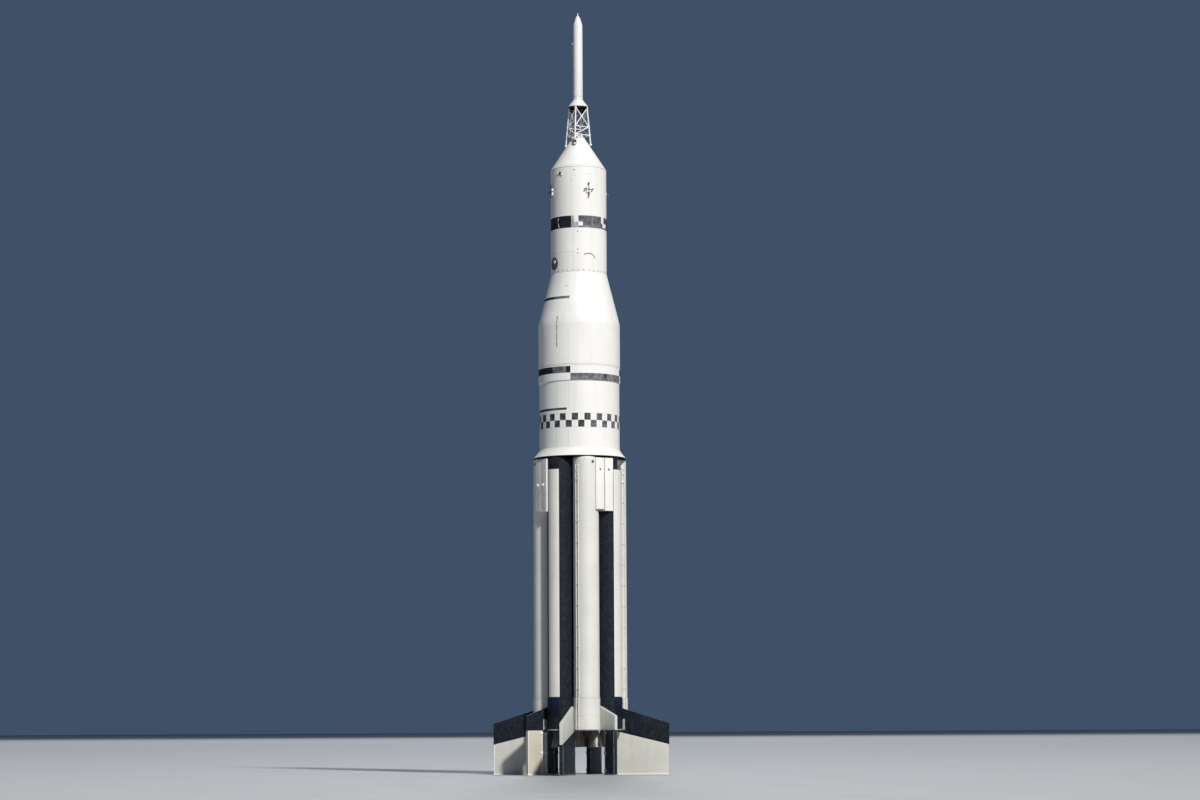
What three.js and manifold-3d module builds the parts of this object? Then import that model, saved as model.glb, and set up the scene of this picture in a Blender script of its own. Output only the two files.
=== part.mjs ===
// Display rocket: a first stage of clustered tanks, a second stage, a payload and an escape tower.
// It is a 1:10 scale model. Lengths below are in metres of the full-size rocket.
import * as THREE from 'three';
import { mergeVertices } from 'three/addons/utils/BufferGeometryUtils.js';
import Module from 'manifold-3d';

const wasm = await Module();
wasm.setup();

// Scale: millimetres of the model for each metre of the full-size rocket.
const SCALE = 100;
// Gap between touching pieces, in full-size metres (0.3 mm on the model).
const GAP = 0.003;

// Heights count from a level 0.59 above the ground. The supports' feet are on the ground.
const GROUND_Z = -0.59;
const TAIL_Z = 2.45;
const TAIL_TOP_Z = 4.65;
const FAIRING_Z = 17.45;
const FAIRING_TOP_Z = 21.1;
const TANK_TOP_Z = 21.22;
const FLARE_Z = 21.23;
const STAGE2_Z = 21.88;
const STAGE2_SKIRT_Z = 26.5;
const CONE_Z = 30.45;
const PAYLOAD_Z = 34.2;
const SERVICE_Z = 37.25;
const CAPSULE_Z = 41.65;
const CAPSULE_TOP_Z = 44.1;
const TOWER_FOOT_Z = 43.3;
const TOWER_TOP_Z = 46.2;
const MOTOR_Z = 46.75;
const NOSE_Z = 52.0;
const TIP_Z = 53.0;

// Radii of the round bodies.
const TANK_R = 0.889;
const TANK_SHOULDER_R = 0.2;
const TANK_CIRCLE_R = 2.376;
const CENTRE_TANK_R = 1.333;
const LOBE_R = 0.93;
const FLARE_R = 3.24;
const FLARE_WALL = 0.07;
const STAGE2_R = 2.794;
const STAGE2_SKIRT_R = 2.85;
const PAYLOAD_R = 1.956;
const CAPSULE_TOP_R = 0.36;
const CAPSULE_CAP_R = 0.2;
const MOTOR_R = 0.33;
const MOTOR_SKIRT_R = 0.7;

// Bearings in degrees: 0 points along -Y and 90 along +X.
const FIN_BEARINGS = [0, 90, 180, 270];
const STUB_BEARINGS = [45, 135, 225, 315];
// Fins at these bearings are white on black supports. The others are black on white supports.
const PALE_FIN_BEARINGS = [0, 45, 180, 225];
const TANK_BEARINGS = [22.5, 67.5, 112.5, 157.5, 202.5, 247.5, 292.5, 337.5];
const QUAD_BEARING = 33;
const QUAD_Z = 40.0;
const TOWER_BEARING = -3;
const SIDE_BOX_BEARING = -77;
const SIDE_BOX_Z = 50.57;

// Fins and the plates that hold them up.
const FIN_THICK = 0.2;
const PLATE_THICK = 0.26;
const FIN_ROOT_R = 2.2;
const LARGE_FIN = { tipR: 6.2, rootTopZ: 4.18, tipTopZ: 2.92, rootLowZ: 2.45, tipLowZ: 1.48 };
const STUB_FIN = { tipR: 4.45, rootTopZ: 4.2, tipTopZ: 3.42, rootLowZ: 2.45, tipLowZ: 2.45 };
const LARGE_PLATE = { rootR: 2.42, tipR: 6.15 };
const STUB_PLATE = { rootR: 3.2, tipR: 4.36 };

// Engines, and the two-axis gimbals that the outboard ones hang on.
const CAVITY_R = 2.25;
const CAVITY_TOP_Z = 4.2;
const FRAME_THICK = 0.14;
const INBOARD_R = 0.72;
const OUTBOARD_R = 1.85;
const PIVOT_Z = 3.35;
const TILT = 8;
const ENGINE = {
  headZ: 3.1,
  chamberR: 0.25,
  chamberZ: 2.85,
  throatR: 0.16,
  throatZ: 2.55,
  exitR: 0.48,
  exitZ: 1.3,
};
const BELL_WALL = 0.03;
const LUG = { offset: 0.22, thick: 0.08, wide: 0.18, overPivot: 0.1 };
const PIN = { r: 0.05, holeR: 0.056, reach: 0.28, block: 0.16 };
const STEM_R = 0.12;
const HEAT_SHIELD_THICK = 0.06;
const CLEARANCE = 0.05;

const ROUND_STEPS = 48;
const TANK_STEPS = 32;
const BELL_STEPS = 20;
const ROD_STEPS = 10;

const white = { color: 0xf1efe8, roughness: 0.55, metalness: 0.0 };
const black = { color: 0x1d1f24, roughness: 0.6, metalness: 0.0 };
const shade = { color: 0xd9d8d2, roughness: 0.6, metalness: 0.0 };
const steel = { color: 0x8d9094, roughness: 0.4, metalness: 0.8 };
const dark = { color: 0x3a3b3e, roughness: 0.5, metalness: 0.7 };

const rocket = new THREE.Group();
rocket.name = 'rocket';

// Adds one named piece to the model.
function addPiece(name, geometry, look) {
  const mesh = new THREE.Mesh(geometry, new THREE.MeshStandardMaterial(look));
  mesh.name = name;
  rocket.add(mesh);
  return mesh;
}

// Changes full-size metres to the model's millimetres.
function sized(geometry) {
  geometry.scale(SCALE, SCALE, SCALE);
  return geometry;
}

// Turns a closed geometry into a solid that can be joined or cut.
function solid(geometry) {
  const plain = geometry.index ? geometry.toNonIndexed() : geometry.clone();
  plain.deleteAttribute('normal');
  plain.deleteAttribute('uv');
  const merged = mergeVertices(plain, 1e-4);
  const mesh = new wasm.Mesh({
    numProp: 3,
    vertProperties: new Float32Array(merged.attributes.position.array),
    triVerts: new Uint32Array(merged.index.array),
  });
  return new wasm.Manifold(mesh);
}

// Turns a solid back into a geometry.
function shape(body) {
  const mesh = body.getMesh();
  const geometry = new THREE.BufferGeometry();
  geometry.setAttribute('position', new THREE.BufferAttribute(new Float32Array(mesh.vertProperties), 3));
  geometry.setIndex(new THREE.BufferAttribute(new Uint32Array(mesh.triVerts), 1));
  geometry.computeVertexNormals();
  return geometry;
}

function joined(geometries) {
  return geometries.map(solid).reduce((whole, next) => whole.add(next));
}

// Unit vector that points outward at a bearing.
function outward(bearing) {
  const a = THREE.MathUtils.degToRad(bearing);
  return new THREE.Vector3(Math.sin(a), -Math.cos(a), 0);
}

// Point at a radius, bearing and height.
function at(radius, bearing, z) {
  return outward(bearing).multiplyScalar(radius).setZ(z);
}

// Solid of revolution about the vertical axis, from [radius, height] pairs.
function turned(profile, steps) {
  const points = profile.map(([r, z]) => new THREE.Vector2(r, z));
  const geometry = new THREE.LatheGeometry(points, steps);
  geometry.rotateX(Math.PI / 2);
  return geometry;
}

// Round rod between two points. Its far end may have another radius.
function rod(from, to, radius, steps = ROD_STEPS, endRadius = radius) {
  const along = to.clone().sub(from);
  const geometry = new THREE.CylinderGeometry(endRadius, radius, along.length(), steps);
  const up = new THREE.Vector3(0, 1, 0);
  geometry.applyQuaternion(new THREE.Quaternion().setFromUnitVectors(up, along.clone().normalize()));
  const middle = from.clone().add(to).multiplyScalar(0.5);
  geometry.translate(middle.x, middle.y, middle.z);
  return geometry;
}

// Box with its first size along the outward direction at a bearing.
function radialBox(size, centreR, bearing, centreZ) {
  const geometry = new THREE.BoxGeometry(size.radial, size.across, size.height);
  geometry.rotateZ(THREE.MathUtils.degToRad(bearing - 90));
  const centre = at(centreR, bearing, centreZ);
  geometry.translate(centre.x, centre.y, centre.z);
  return geometry;
}

// Flat plate standing on a radius, from an outline of [radius, height] pairs.
function radialPlate(outline, thick, bearing) {
  const face = new THREE.Shape(outline.map(([r, z]) => new THREE.Vector2(r, z)));
  const geometry = new THREE.ExtrudeGeometry(face, { depth: thick, bevelEnabled: false });
  geometry.translate(0, 0, -thick / 2);
  geometry.rotateX(Math.PI / 2);
  geometry.rotateZ(THREE.MathUtils.degToRad(bearing - 90));
  return geometry;
}

// Outline of eight lobes that carries the tanks' curve down to the tail.
function lobedShape(lobeR) {
  const outline = new THREE.Shape();
  const halfStep = Math.PI / TANK_BEARINGS.length;
  const chord = TANK_CIRCLE_R * Math.sin(halfStep);
  const valleyR = TANK_CIRCLE_R * Math.cos(halfStep) + Math.sqrt(lobeR ** 2 - chord ** 2);
  for (let i = 0; i < TANK_BEARINGS.length; i += 1) {
    const middle = halfStep + i * 2 * halfStep;
    const centre = new THREE.Vector2(Math.cos(middle), Math.sin(middle)).multiplyScalar(TANK_CIRCLE_R);
    const start = new THREE.Vector2(Math.cos(middle - halfStep), Math.sin(middle - halfStep))
      .multiplyScalar(valleyR);
    const end = new THREE.Vector2(Math.cos(middle + halfStep), Math.sin(middle + halfStep))
      .multiplyScalar(valleyR);
    const startAngle = Math.atan2(start.y - centre.y, start.x - centre.x);
    const endAngle = Math.atan2(end.y - centre.y, end.x - centre.x);
    outline.absarc(centre.x, centre.y, lobeR, startAngle, endAngle, false);
  }
  return outline;
}

function lobedPrism(lobeR, lowZ, highZ) {
  const settings = { depth: highZ - lowZ, bevelEnabled: false, curveSegments: 16 };
  const geometry = new THREE.ExtrudeGeometry(lobedShape(lobeR), settings);
  geometry.translate(0, 0, lowZ);
  return geometry;
}

function disc(radius, lowZ, highZ, steps = ROUND_STEPS) {
  return turned([[0, lowZ], [radius, lowZ], [radius, highZ], [0, highZ]], steps);
}

// Tail skirt: lobed outside, round inside, open at the bottom.
function addTail() {
  const outer = solid(lobedPrism(LOBE_R, TAIL_Z, TAIL_TOP_Z));
  const cavity = solid(disc(CAVITY_R, TAIL_Z - 1, CAVITY_TOP_Z));
  addPiece('tail_skirt', sized(shape(outer.subtract(cavity))), black);
}

// Four large fins and four stub fins, each with the plate it stands on.
function addFins() {
  const rows = [
    { kind: 'large', bearings: FIN_BEARINGS, fin: LARGE_FIN, plate: LARGE_PLATE },
    { kind: 'stub', bearings: STUB_BEARINGS, fin: STUB_FIN, plate: STUB_PLATE },
  ];
  const cutter = solid(lobedPrism(LOBE_R + GAP, TAIL_Z - 0.5, TAIL_TOP_Z + 1));
  for (const { kind, bearings, fin, plate } of rows) {
    const slope = (fin.tipLowZ - fin.rootLowZ) / (fin.tipR - FIN_ROOT_R);
    const lowEdge = (r) => fin.rootLowZ + slope * (r - FIN_ROOT_R) - GAP;
    bearings.forEach((bearing, i) => {
      const outline = [
        [FIN_ROOT_R, fin.rootLowZ],
        [fin.tipR, fin.tipLowZ],
        [fin.tipR, fin.tipTopZ],
        [FIN_ROOT_R, fin.rootTopZ],
      ];
      const blade = solid(radialPlate(outline, FIN_THICK, bearing)).subtract(cutter);
      const pale = PALE_FIN_BEARINGS.includes(bearing);
      addPiece(`${kind}_fin_${i + 1}`, sized(shape(blade)), pale ? white : black);
      const support = [
        [plate.rootR, GROUND_Z],
        [plate.tipR, GROUND_Z],
        [plate.tipR, lowEdge(plate.tipR)],
        [plate.rootR, lowEdge(plate.rootR)],
      ];
      const plateShape = sized(radialPlate(support, PLATE_THICK, bearing));
      addPiece(`${kind}_support_${i + 1}`, plateShape, pale ? black : shade);
    });
  }
}

// Eight outer tanks with rounded shoulders around one centre tank.
function addTanks() {
  const shoulderZ = TANK_TOP_Z - TANK_SHOULDER_R;
  const profile = [[0, TAIL_TOP_Z + GAP], [TANK_R, TAIL_TOP_Z + GAP]];
  for (const degrees of [0, 30, 60, 90]) {
    const a = THREE.MathUtils.degToRad(degrees);
    profile.push([TANK_R - TANK_SHOULDER_R * (1 - Math.cos(a)), shoulderZ + TANK_SHOULDER_R * Math.sin(a)]);
  }
  profile.push([0, TANK_TOP_Z]);
  TANK_BEARINGS.forEach((bearing, i) => {
    const geometry = turned(profile, TANK_STEPS);
    const centre = at(TANK_CIRCLE_R, bearing, 0);
    geometry.translate(centre.x, centre.y, 0);
    addPiece(`tank_${i + 1}`, sized(geometry), i % 2 === 0 ? white : black);
  });
  addPiece('centre_tank', sized(disc(CENTRE_TANK_R, TAIL_TOP_Z + GAP, TANK_TOP_Z, TANK_STEPS)), white);
}

// Star of eight beams on the tanks' tops, a plate that seals them off, and a hub under the second stage.
function addSpider() {
  const lowZ = TANK_TOP_Z + GAP;
  const beam = { radial: 2.95, across: 0.34, height: 0.23 };
  const plate = { radius: 2.96, thick: 0.04 };
  const hubR = 1.0;
  const plateZ = lowZ + beam.height - plate.thick / 2;
  const beamZ = lowZ + beam.height / 2;
  const star = joined([
    ...TANK_BEARINGS.map((bearing) => radialBox(beam, beam.radial / 2, bearing, beamZ)),
    disc(plate.radius, plateZ, plateZ + plate.thick),
    disc(hubR, lowZ, STAGE2_Z, TANK_STEPS),
  ]);
  addPiece('spider_beam', sized(shape(star)), black);
}

// Four box fairings that cover the tops of the valleys between tanks.
function addFairings() {
  const size = { radial: 0.85, across: 1.4, height: FAIRING_TOP_Z - FAIRING_Z };
  const outerR = 3.17;
  const cutters = TANK_BEARINGS.map((bearing) => {
    const foot = at(TANK_CIRCLE_R, bearing, FAIRING_Z - 1);
    const head = at(TANK_CIRCLE_R, bearing, FAIRING_TOP_Z + 1);
    return solid(rod(foot, head, TANK_R + 2 * GAP, TANK_STEPS));
  });
  STUB_BEARINGS.forEach((bearing, i) => {
    let box = solid(radialBox(size, outerR - size.radial / 2, bearing, (FAIRING_Z + FAIRING_TOP_Z) / 2));
    for (const cutter of cutters) {
      box = box.subtract(cutter);
    }
    addPiece(`valley_fairing_${i + 1}`, sized(shape(box)), white);
  });
}

// Flared ring under the second stage, open below: its outer profile and the same one wall further in.
function addFlare() {
  const outer = [
    [FLARE_R, FLARE_Z],
    [FLARE_R, 21.27],
    [3.1, 21.42],
    [2.95, 21.61],
    [2.84, 21.78],
    [STAGE2_R, STAGE2_Z],
  ];
  const inner = outer.map(([r, z]) => [r - FLARE_WALL, z]).reverse();
  addPiece('stage_flare', sized(turned([...outer, ...inner, outer[0]], ROUND_STEPS)), white);
}

// Round bodies from the second stage up to the capsule.
function addStages() {
  const capTopZ = CAPSULE_TOP_Z + 0.22;
  const bodies = [
    { name: 'second_stage', profile: [[STAGE2_R, STAGE2_Z], [STAGE2_R, STAGE2_SKIRT_Z]] },
    { name: 'second_stage_skirt', profile: [[STAGE2_SKIRT_R, STAGE2_SKIRT_Z], [STAGE2_SKIRT_R, CONE_Z]] },
    {
      name: 'payload_cone',
      profile: [[STAGE2_SKIRT_R, CONE_Z], [2.8, 30.85], [2.69, 31.3], [PAYLOAD_R, PAYLOAD_Z]],
    },
    { name: 'payload_adapter', profile: [[PAYLOAD_R, PAYLOAD_Z], [PAYLOAD_R, SERVICE_Z]] },
    {
      name: 'capsule',
      profile: [
        [PAYLOAD_R, CAPSULE_Z],
        [CAPSULE_TOP_R, CAPSULE_TOP_Z],
        [CAPSULE_CAP_R, CAPSULE_TOP_Z + 0.03],
        [CAPSULE_CAP_R - 0.02, capTopZ - 0.06],
        [CAPSULE_CAP_R / 2, capTopZ],
      ],
    },
  ];
  for (const { name, profile } of bodies) {
    // Each body starts one gap above the one that carries it.
    const raised = profile.map(([r, z], i) => (i === 0 ? [r, z + GAP] : [r, z]));
    const closed = [[0, raised[0][1]], ...raised, [0, raised[raised.length - 1][1]]];
    addPiece(name, sized(turned(closed, ROUND_STEPS)), white);
  }
}

// Service module with its four thruster quads.
function addServiceModule() {
  const parts = [disc(PAYLOAD_R, SERVICE_Z + GAP, CAPSULE_Z)];
  const housing = { radial: 0.22, across: 0.32, height: 0.46 };
  const nozzle = { standOff: 0.12, throatR: 0.035, exitR: 0.065, levelReach: 0.33, uprightReach: 0.48 };
  for (const turn of [0, 90, 180, 270]) {
    const bearing = QUAD_BEARING + turn;
    parts.push(radialBox(housing, PAYLOAD_R, bearing, QUAD_Z));
    const centre = at(PAYLOAD_R + nozzle.standOff, bearing, QUAD_Z);
    const side = outward(bearing + 90);
    const up = new THREE.Vector3(0, 0, 1);
    for (const [direction, reach] of [[side, nozzle.levelReach], [up, nozzle.uprightReach]]) {
      for (const way of [-1, 1]) {
        const exit = centre.clone().addScaledVector(direction, way * reach);
        parts.push(rod(centre, exit, nozzle.throatR, ROD_STEPS, nozzle.exitR));
      }
    }
  }
  addPiece('service_module', sized(shape(joined(parts))), white);
}

// Lattice tower on four legs, with rings and cross braces.
function addTower() {
  const footR = 0.92;
  const topR = 0.64;
  const legRadius = 0.055;
  const braceRadius = 0.04;
  const [lowerZ, middleZ, upperZ] = [44.15, 44.75, 46.1];
  const ring = { innerR: 0.55, outerR: MOTOR_SKIRT_R, lowZ: 46.08 };
  const legAt = (corner, z) => {
    const share = (z - TOWER_FOOT_Z) / (TOWER_TOP_Z - TOWER_FOOT_Z);
    return at(footR + share * (topR - footR), TOWER_BEARING + 90 * corner, z);
  };
  const brace = (from, to) => rod(from, to, braceRadius, 8);
  const parts = [
    turned([
      [ring.innerR, ring.lowZ],
      [ring.outerR, ring.lowZ],
      [ring.outerR, TOWER_TOP_Z],
      [ring.innerR, TOWER_TOP_Z],
      [ring.innerR, ring.lowZ],
    ], 24),
  ];
  for (const corner of [0, 1, 2, 3]) {
    const next = corner + 1;
    parts.push(rod(legAt(corner, TOWER_FOOT_Z), legAt(corner, TOWER_TOP_Z - 0.02), legRadius));
    parts.push(brace(legAt(corner, lowerZ), legAt(next, lowerZ)));
    parts.push(brace(legAt(corner, middleZ), legAt(next, middleZ)));
    parts.push(brace(legAt(corner, middleZ), legAt(next, upperZ)));
    parts.push(brace(legAt(next, middleZ), legAt(corner, upperZ)));
    parts.push(brace(legAt(corner, lowerZ), legAt(next, middleZ)));
  }
  const cone = solid(turned([
    [0, CAPSULE_Z],
    [PAYLOAD_R + 2 * GAP, CAPSULE_Z],
    [CAPSULE_TOP_R + 2 * GAP, CAPSULE_TOP_Z],
    [0, CAPSULE_TOP_Z],
  ], ROUND_STEPS));
  addPiece('escape_tower', sized(shape(joined(parts).subtract(cone))), white);
}

// Escape motor with its flared skirt, four nozzles and nose cone.
function addEscapeMotor() {
  const skirtLowZ = TOWER_TOP_Z + GAP;
  const parts = [
    turned([
      [0, 46.42],
      [0.5, 46.42],
      [0.57, skirtLowZ],
      [MOTOR_SKIRT_R, skirtLowZ],
      [MOTOR_SKIRT_R, skirtLowZ + 0.06],
      [MOTOR_R, MOTOR_Z],
      [0, MOTOR_Z],
    ], 24),
  ];
  const nozzle = { throatR: 0.09, exitR: 0.17, length: 0.75, tilt: THREE.MathUtils.degToRad(25) };
  for (const turn of [0, 90, 180, 270]) {
    const bearing = TOWER_BEARING + 45 + turn;
    const top = at(0.16, bearing, 46.5);
    const down = outward(bearing).multiplyScalar(Math.sin(nozzle.tilt)).setZ(-Math.cos(nozzle.tilt));
    const exit = top.clone().addScaledVector(down, nozzle.length);
    parts.push(rod(top, exit, nozzle.throatR, 12, nozzle.exitR));
  }
  addPiece('escape_motor_skirt', sized(shape(joined(parts))), white);
  const sideBox = { radial: 0.16, across: 0.16, height: 0.42 };
  const motor = joined([
    disc(MOTOR_R, MOTOR_Z + GAP, NOSE_Z, 24),
    radialBox(sideBox, MOTOR_R, SIDE_BOX_BEARING, SIDE_BOX_Z),
  ]);
  addPiece('escape_motor', sized(shape(motor)), white);
  const lowZ = NOSE_Z + GAP;
  const nose = [[0, lowZ], [MOTOR_R, lowZ], [0.27, 52.3], [0.16, 52.65], [0.06, 52.8], [0, TIP_Z]];
  addPiece('nose_cone', sized(turned(nose, 24)), white);
}

// Engine from its head down to the open exit of its bell.
function engineBody(centreR, bearing) {
  const bellAt = (share) => [
    ENGINE.throatR + (ENGINE.exitR - ENGINE.throatR) * share ** 0.75,
    ENGINE.throatZ + (ENGINE.exitZ - ENGINE.throatZ) * share,
  ];
  const outer = [0, 0.2, 0.45, 0.7, 1].map(bellAt);
  const inner = outer.map(([r, z]) => [r - BELL_WALL, z]).reverse();
  const head = [[0, ENGINE.headZ], [ENGINE.chamberR, ENGINE.headZ], [ENGINE.chamberR, ENGINE.chamberZ]];
  const profile = [...head, ...outer, ...inner, [0, ENGINE.throatZ + BELL_WALL]];
  const geometry = turned(profile.reverse(), BELL_STEPS);
  const centre = at(centreR, bearing, 0);
  geometry.translate(centre.x, centre.y, 0);
  return geometry;
}

// Rod through an outboard engine's pivot, along a level direction.
function pivotRod(bearing, direction, reach, radius) {
  const centre = at(OUTBOARD_R, bearing, PIVOT_Z);
  const from = centre.clone().addScaledVector(direction, -reach);
  const to = centre.clone().addScaledVector(direction, reach);
  return rod(from, to, radius);
}

// Plate at the head of the tail, with a fork of two lugs for each outboard engine.
function addThrustFrame() {
  const highZ = CAVITY_TOP_Z - GAP;
  const parts = [disc(CAVITY_R - GAP, highZ - FRAME_THICK, highZ)];
  const lugLowZ = PIVOT_Z - LUG.overPivot;
  const lugHighZ = highZ - FRAME_THICK / 2;
  for (const bearing of STUB_BEARINGS) {
    for (const side of [-LUG.offset, LUG.offset]) {
      const size = { radial: LUG.wide, across: LUG.thick, height: lugHighZ - lugLowZ };
      const lug = radialBox(size, OUTBOARD_R, bearing, (lugLowZ + lugHighZ) / 2);
      const shift = outward(bearing + 90).multiplyScalar(side);
      lug.translate(shift.x, shift.y, 0);
      parts.push(lug);
    }
  }
  let frame = joined(parts);
  for (const bearing of STUB_BEARINGS) {
    frame = frame.subtract(solid(pivotRod(bearing, outward(bearing + 90), PIN.reach + GAP, PIN.holeR)));
  }
  addPiece('thrust_frame', sized(shape(frame)), steel);
}

// Plate across the mouth of the tail, with an opening at each engine's throat.
function addHeatShield() {
  const lowZ = ENGINE.throatZ - HEAT_SHIELD_THICK / 2;
  const height = 4 * HEAT_SHIELD_THICK;
  let shield = solid(disc(CAVITY_R - GAP, lowZ, lowZ + HEAT_SHIELD_THICK));
  const swing = (PIVOT_Z - ENGINE.throatZ) * Math.tan(THREE.MathUtils.degToRad(TILT));
  const wide = 2 * (ENGINE.throatR + swing + CLEARANCE);
  for (const bearing of STUB_BEARINGS) {
    const opening = radialBox({ radial: wide, across: wide, height }, OUTBOARD_R, bearing, ENGINE.throatZ);
    shield = shield.subtract(solid(opening));
  }
  for (const bearing of FIN_BEARINGS) {
    const low = at(INBOARD_R, bearing, ENGINE.throatZ - height / 2);
    const high = at(INBOARD_R, bearing, ENGINE.throatZ + height / 2);
    shield = shield.subtract(solid(rod(low, high, ENGINE.throatR + CLEARANCE, BELL_STEPS)));
  }
  addPiece('heat_shield', sized(shape(shield)), steel);
}

// Four fixed inboard engines, each on a stem from the thrust frame.
function addInboardEngines() {
  const stemTopZ = CAVITY_TOP_Z - FRAME_THICK - 2 * GAP;
  FIN_BEARINGS.forEach((bearing, i) => {
    const stem = rod(at(INBOARD_R, bearing, ENGINE.chamberZ), at(INBOARD_R, bearing, stemTopZ), STEM_R, 12);
    addPiece(`inboard_engine_${i + 1}`, sized(shape(joined([engineBody(INBOARD_R, bearing), stem]))), dark);
  });
}

// Four outboard engines, each hung by two lugs on a cross of pins.
function addOutboardEngines() {
  STUB_BEARINGS.forEach((bearing, i) => {
    const out = outward(bearing);
    const side = outward(bearing + 90);
    const cross = joined([
      radialBox({ radial: PIN.block, across: PIN.block, height: PIN.block }, OUTBOARD_R, bearing, PIVOT_Z),
      pivotRod(bearing, side, PIN.reach, PIN.r),
      pivotRod(bearing, out, PIN.reach, PIN.r),
    ]);
    addPiece(`gimbal_cross_${i + 1}`, sized(shape(cross)), steel);
    const parts = [engineBody(OUTBOARD_R, bearing)];
    const lugHighZ = PIVOT_Z + LUG.overPivot;
    const lugLowZ = ENGINE.headZ - CLEARANCE;
    for (const way of [-LUG.offset, LUG.offset]) {
      const size = { radial: LUG.thick, across: LUG.wide, height: lugHighZ - lugLowZ };
      parts.push(radialBox(size, OUTBOARD_R + way, bearing, (lugLowZ + lugHighZ) / 2));
    }
    const engine = joined(parts).subtract(solid(pivotRod(bearing, out, PIN.reach + GAP, PIN.holeR)));
    addPiece(`outboard_engine_${i + 1}`, sized(shape(engine)), dark);
  });
}

addTail();
addFins();
addTanks();
addSpider();
addFairings();
addFlare();
addStages();
addServiceModule();
addTower();
addEscapeMotor();
addThrustFrame();
addHeatShield();
addInboardEngines();
addOutboardEngines();
rocket.position.z = -GROUND_Z * SCALE;

export default rocket;
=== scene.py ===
# Looks of the 1:10 display rocket. Lengths are metres of the full-size rocket unless a line says otherwise.
import math

import bmesh
import bpy
from mathutils import Matrix, Vector


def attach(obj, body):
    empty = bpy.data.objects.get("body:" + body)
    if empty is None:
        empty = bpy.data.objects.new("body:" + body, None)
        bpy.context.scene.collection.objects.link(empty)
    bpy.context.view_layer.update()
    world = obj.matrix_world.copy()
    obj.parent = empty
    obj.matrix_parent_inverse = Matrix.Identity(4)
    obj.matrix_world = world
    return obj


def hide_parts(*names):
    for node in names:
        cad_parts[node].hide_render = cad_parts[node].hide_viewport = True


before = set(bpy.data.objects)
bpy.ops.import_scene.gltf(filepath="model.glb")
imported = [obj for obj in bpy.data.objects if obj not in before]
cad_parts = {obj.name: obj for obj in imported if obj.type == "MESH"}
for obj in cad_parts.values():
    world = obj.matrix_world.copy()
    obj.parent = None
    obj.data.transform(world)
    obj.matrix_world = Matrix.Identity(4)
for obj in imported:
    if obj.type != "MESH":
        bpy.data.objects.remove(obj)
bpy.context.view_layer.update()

# Metres of the model for each full-size metre.
SCALE = 0.1

# Heights count from a level 0.59 above the ground, as in the frame's source.
GROUND_Z = -0.59
TAIL_Z = 2.45
TAIL_TOP_Z = 4.65
FAIRING_Z = 17.45
FAIRING_TOP_Z = 21.1
TANK_TOP_Z = 21.22
FLARE_Z = 21.23
STAGE2_Z = 21.88
SKIRT_Z = 26.5
CONE_Z = 30.45
PAYLOAD_Z = 34.2
SERVICE_Z = 37.25
QUAD_Z = 40.0
CAPSULE_Z = 41.65
CAPSULE_TOP_Z = 44.1
TOWER_FOOT_Z = 43.3
TOWER_TOP_Z = 46.2
MOTOR_Z = 46.75
SIDE_BOX_Z = 50.57
NOSE_Z = 52.0
TIP_Z = 53.0
GAP = 0.003

# Radii.
TANK_R = 0.889
TANK_SHOULDER_R = 0.2
TANK_CIRCLE_R = 2.376
CENTRE_TANK_R = 1.333
LOBE_R = 0.93
CAVITY_R = 2.25
CAVITY_TOP_Z = 4.2
FAIRING_R = 3.17
FAIRING_HALF = 0.7
FLARE_R = 3.24
FLARE_WALL = 0.07
STAGE2_R = 2.794
SKIRT_R = 2.85
PAYLOAD_R = 1.956
CAPSULE_TOP_R = 0.36
MOTOR_R = 0.33
MOTOR_SKIRT_R = 0.7

# Bearings in degrees: 0 points along -Y and 90 along +X.
QUARTERS = (0, 90, 180, 270)
HALVES = (0, 180)
STUB_BEARINGS = (45, 135, 225, 315)
PALE_FIN_BEARINGS = (0, 45, 180, 225)
TANK_BEARINGS = (22.5, 67.5, 112.5, 157.5, 202.5, 247.5, 292.5, 337.5)
QUAD_BEARING = 33
TOWER_BEARING = -3
SIDE_BOX_BEARING = -77

# Fins, and the plates that stand under them.
FIN_THICK = 0.2
PLATE_THICK = 0.26
FIN_ROOT_R = 2.2
BLADE_ROOT_R = 2.42
# Columns: bearings, tip radius, root and tip height of the lower edge and of the upper edge, root and tip
# radius of the plate, the plate's light paint.
FINS = {
    "large": (QUARTERS, 6.2, (2.45, 1.48), (4.18, 2.92), (2.42, 6.15), "support"),
    "stub": (STUB_BEARINGS, 4.45, (2.45, 2.45), (4.2, 3.42), (3.2, 4.36), "cream"),
}
# Worn plate on both faces of a black fin: its size, and the radius and height of its middle.
FIN_PLATE = ((0.3, 0.012, 0.72), 2.98, 2.84)

# Engines. Chamber, throat and exit each have a radius and a height.
INBOARD_R = 0.72
OUTBOARD_R = 1.85
HEAD_Z = 3.1
CHAMBER = (0.25, 2.85)
THROAT = (0.16, 2.55)
EXIT = (0.48, 1.3)
BELL_WALL = 0.03
STEM_TOP_Z = 4.05

# Photograph: its width, focal length and the place of the rocket's axis, in pixels.
PHOTO_WIDTH = 1200
PHOTO_FOCAL = 3000
PHOTO_AXIS_X = 579.3
# Its camera: distance from the rocket's axis, height counted as above, and angles in degrees.
CAMERA_BEARING = 12.5
CAMERA_DISTANCE = 208.5
CAMERA_HEIGHT = 2.45
CAMERA_PITCH = 6.28
CAMERA_ROLL = -0.3

UP = Vector((0, 0, 1))


def outward(bearing):
    """Unit vector that points away from the axis at a bearing."""
    a = math.radians(bearing)
    return Vector((math.sin(a), -math.cos(a), 0))


def at(radius, bearing, z):
    """Point at a radius, bearing and height."""
    return outward(bearing) * radius + UP * z


def linked(name, data):
    """Object of a mesh, light or camera, in the scene."""
    made = bpy.data.objects.new(name, data)
    bpy.context.scene.collection.objects.link(made)
    return made


def in_span(bearing, first, last):
    """Whether a bearing lies between two others, going up."""
    return (bearing - first) % 360 < last - first


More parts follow.
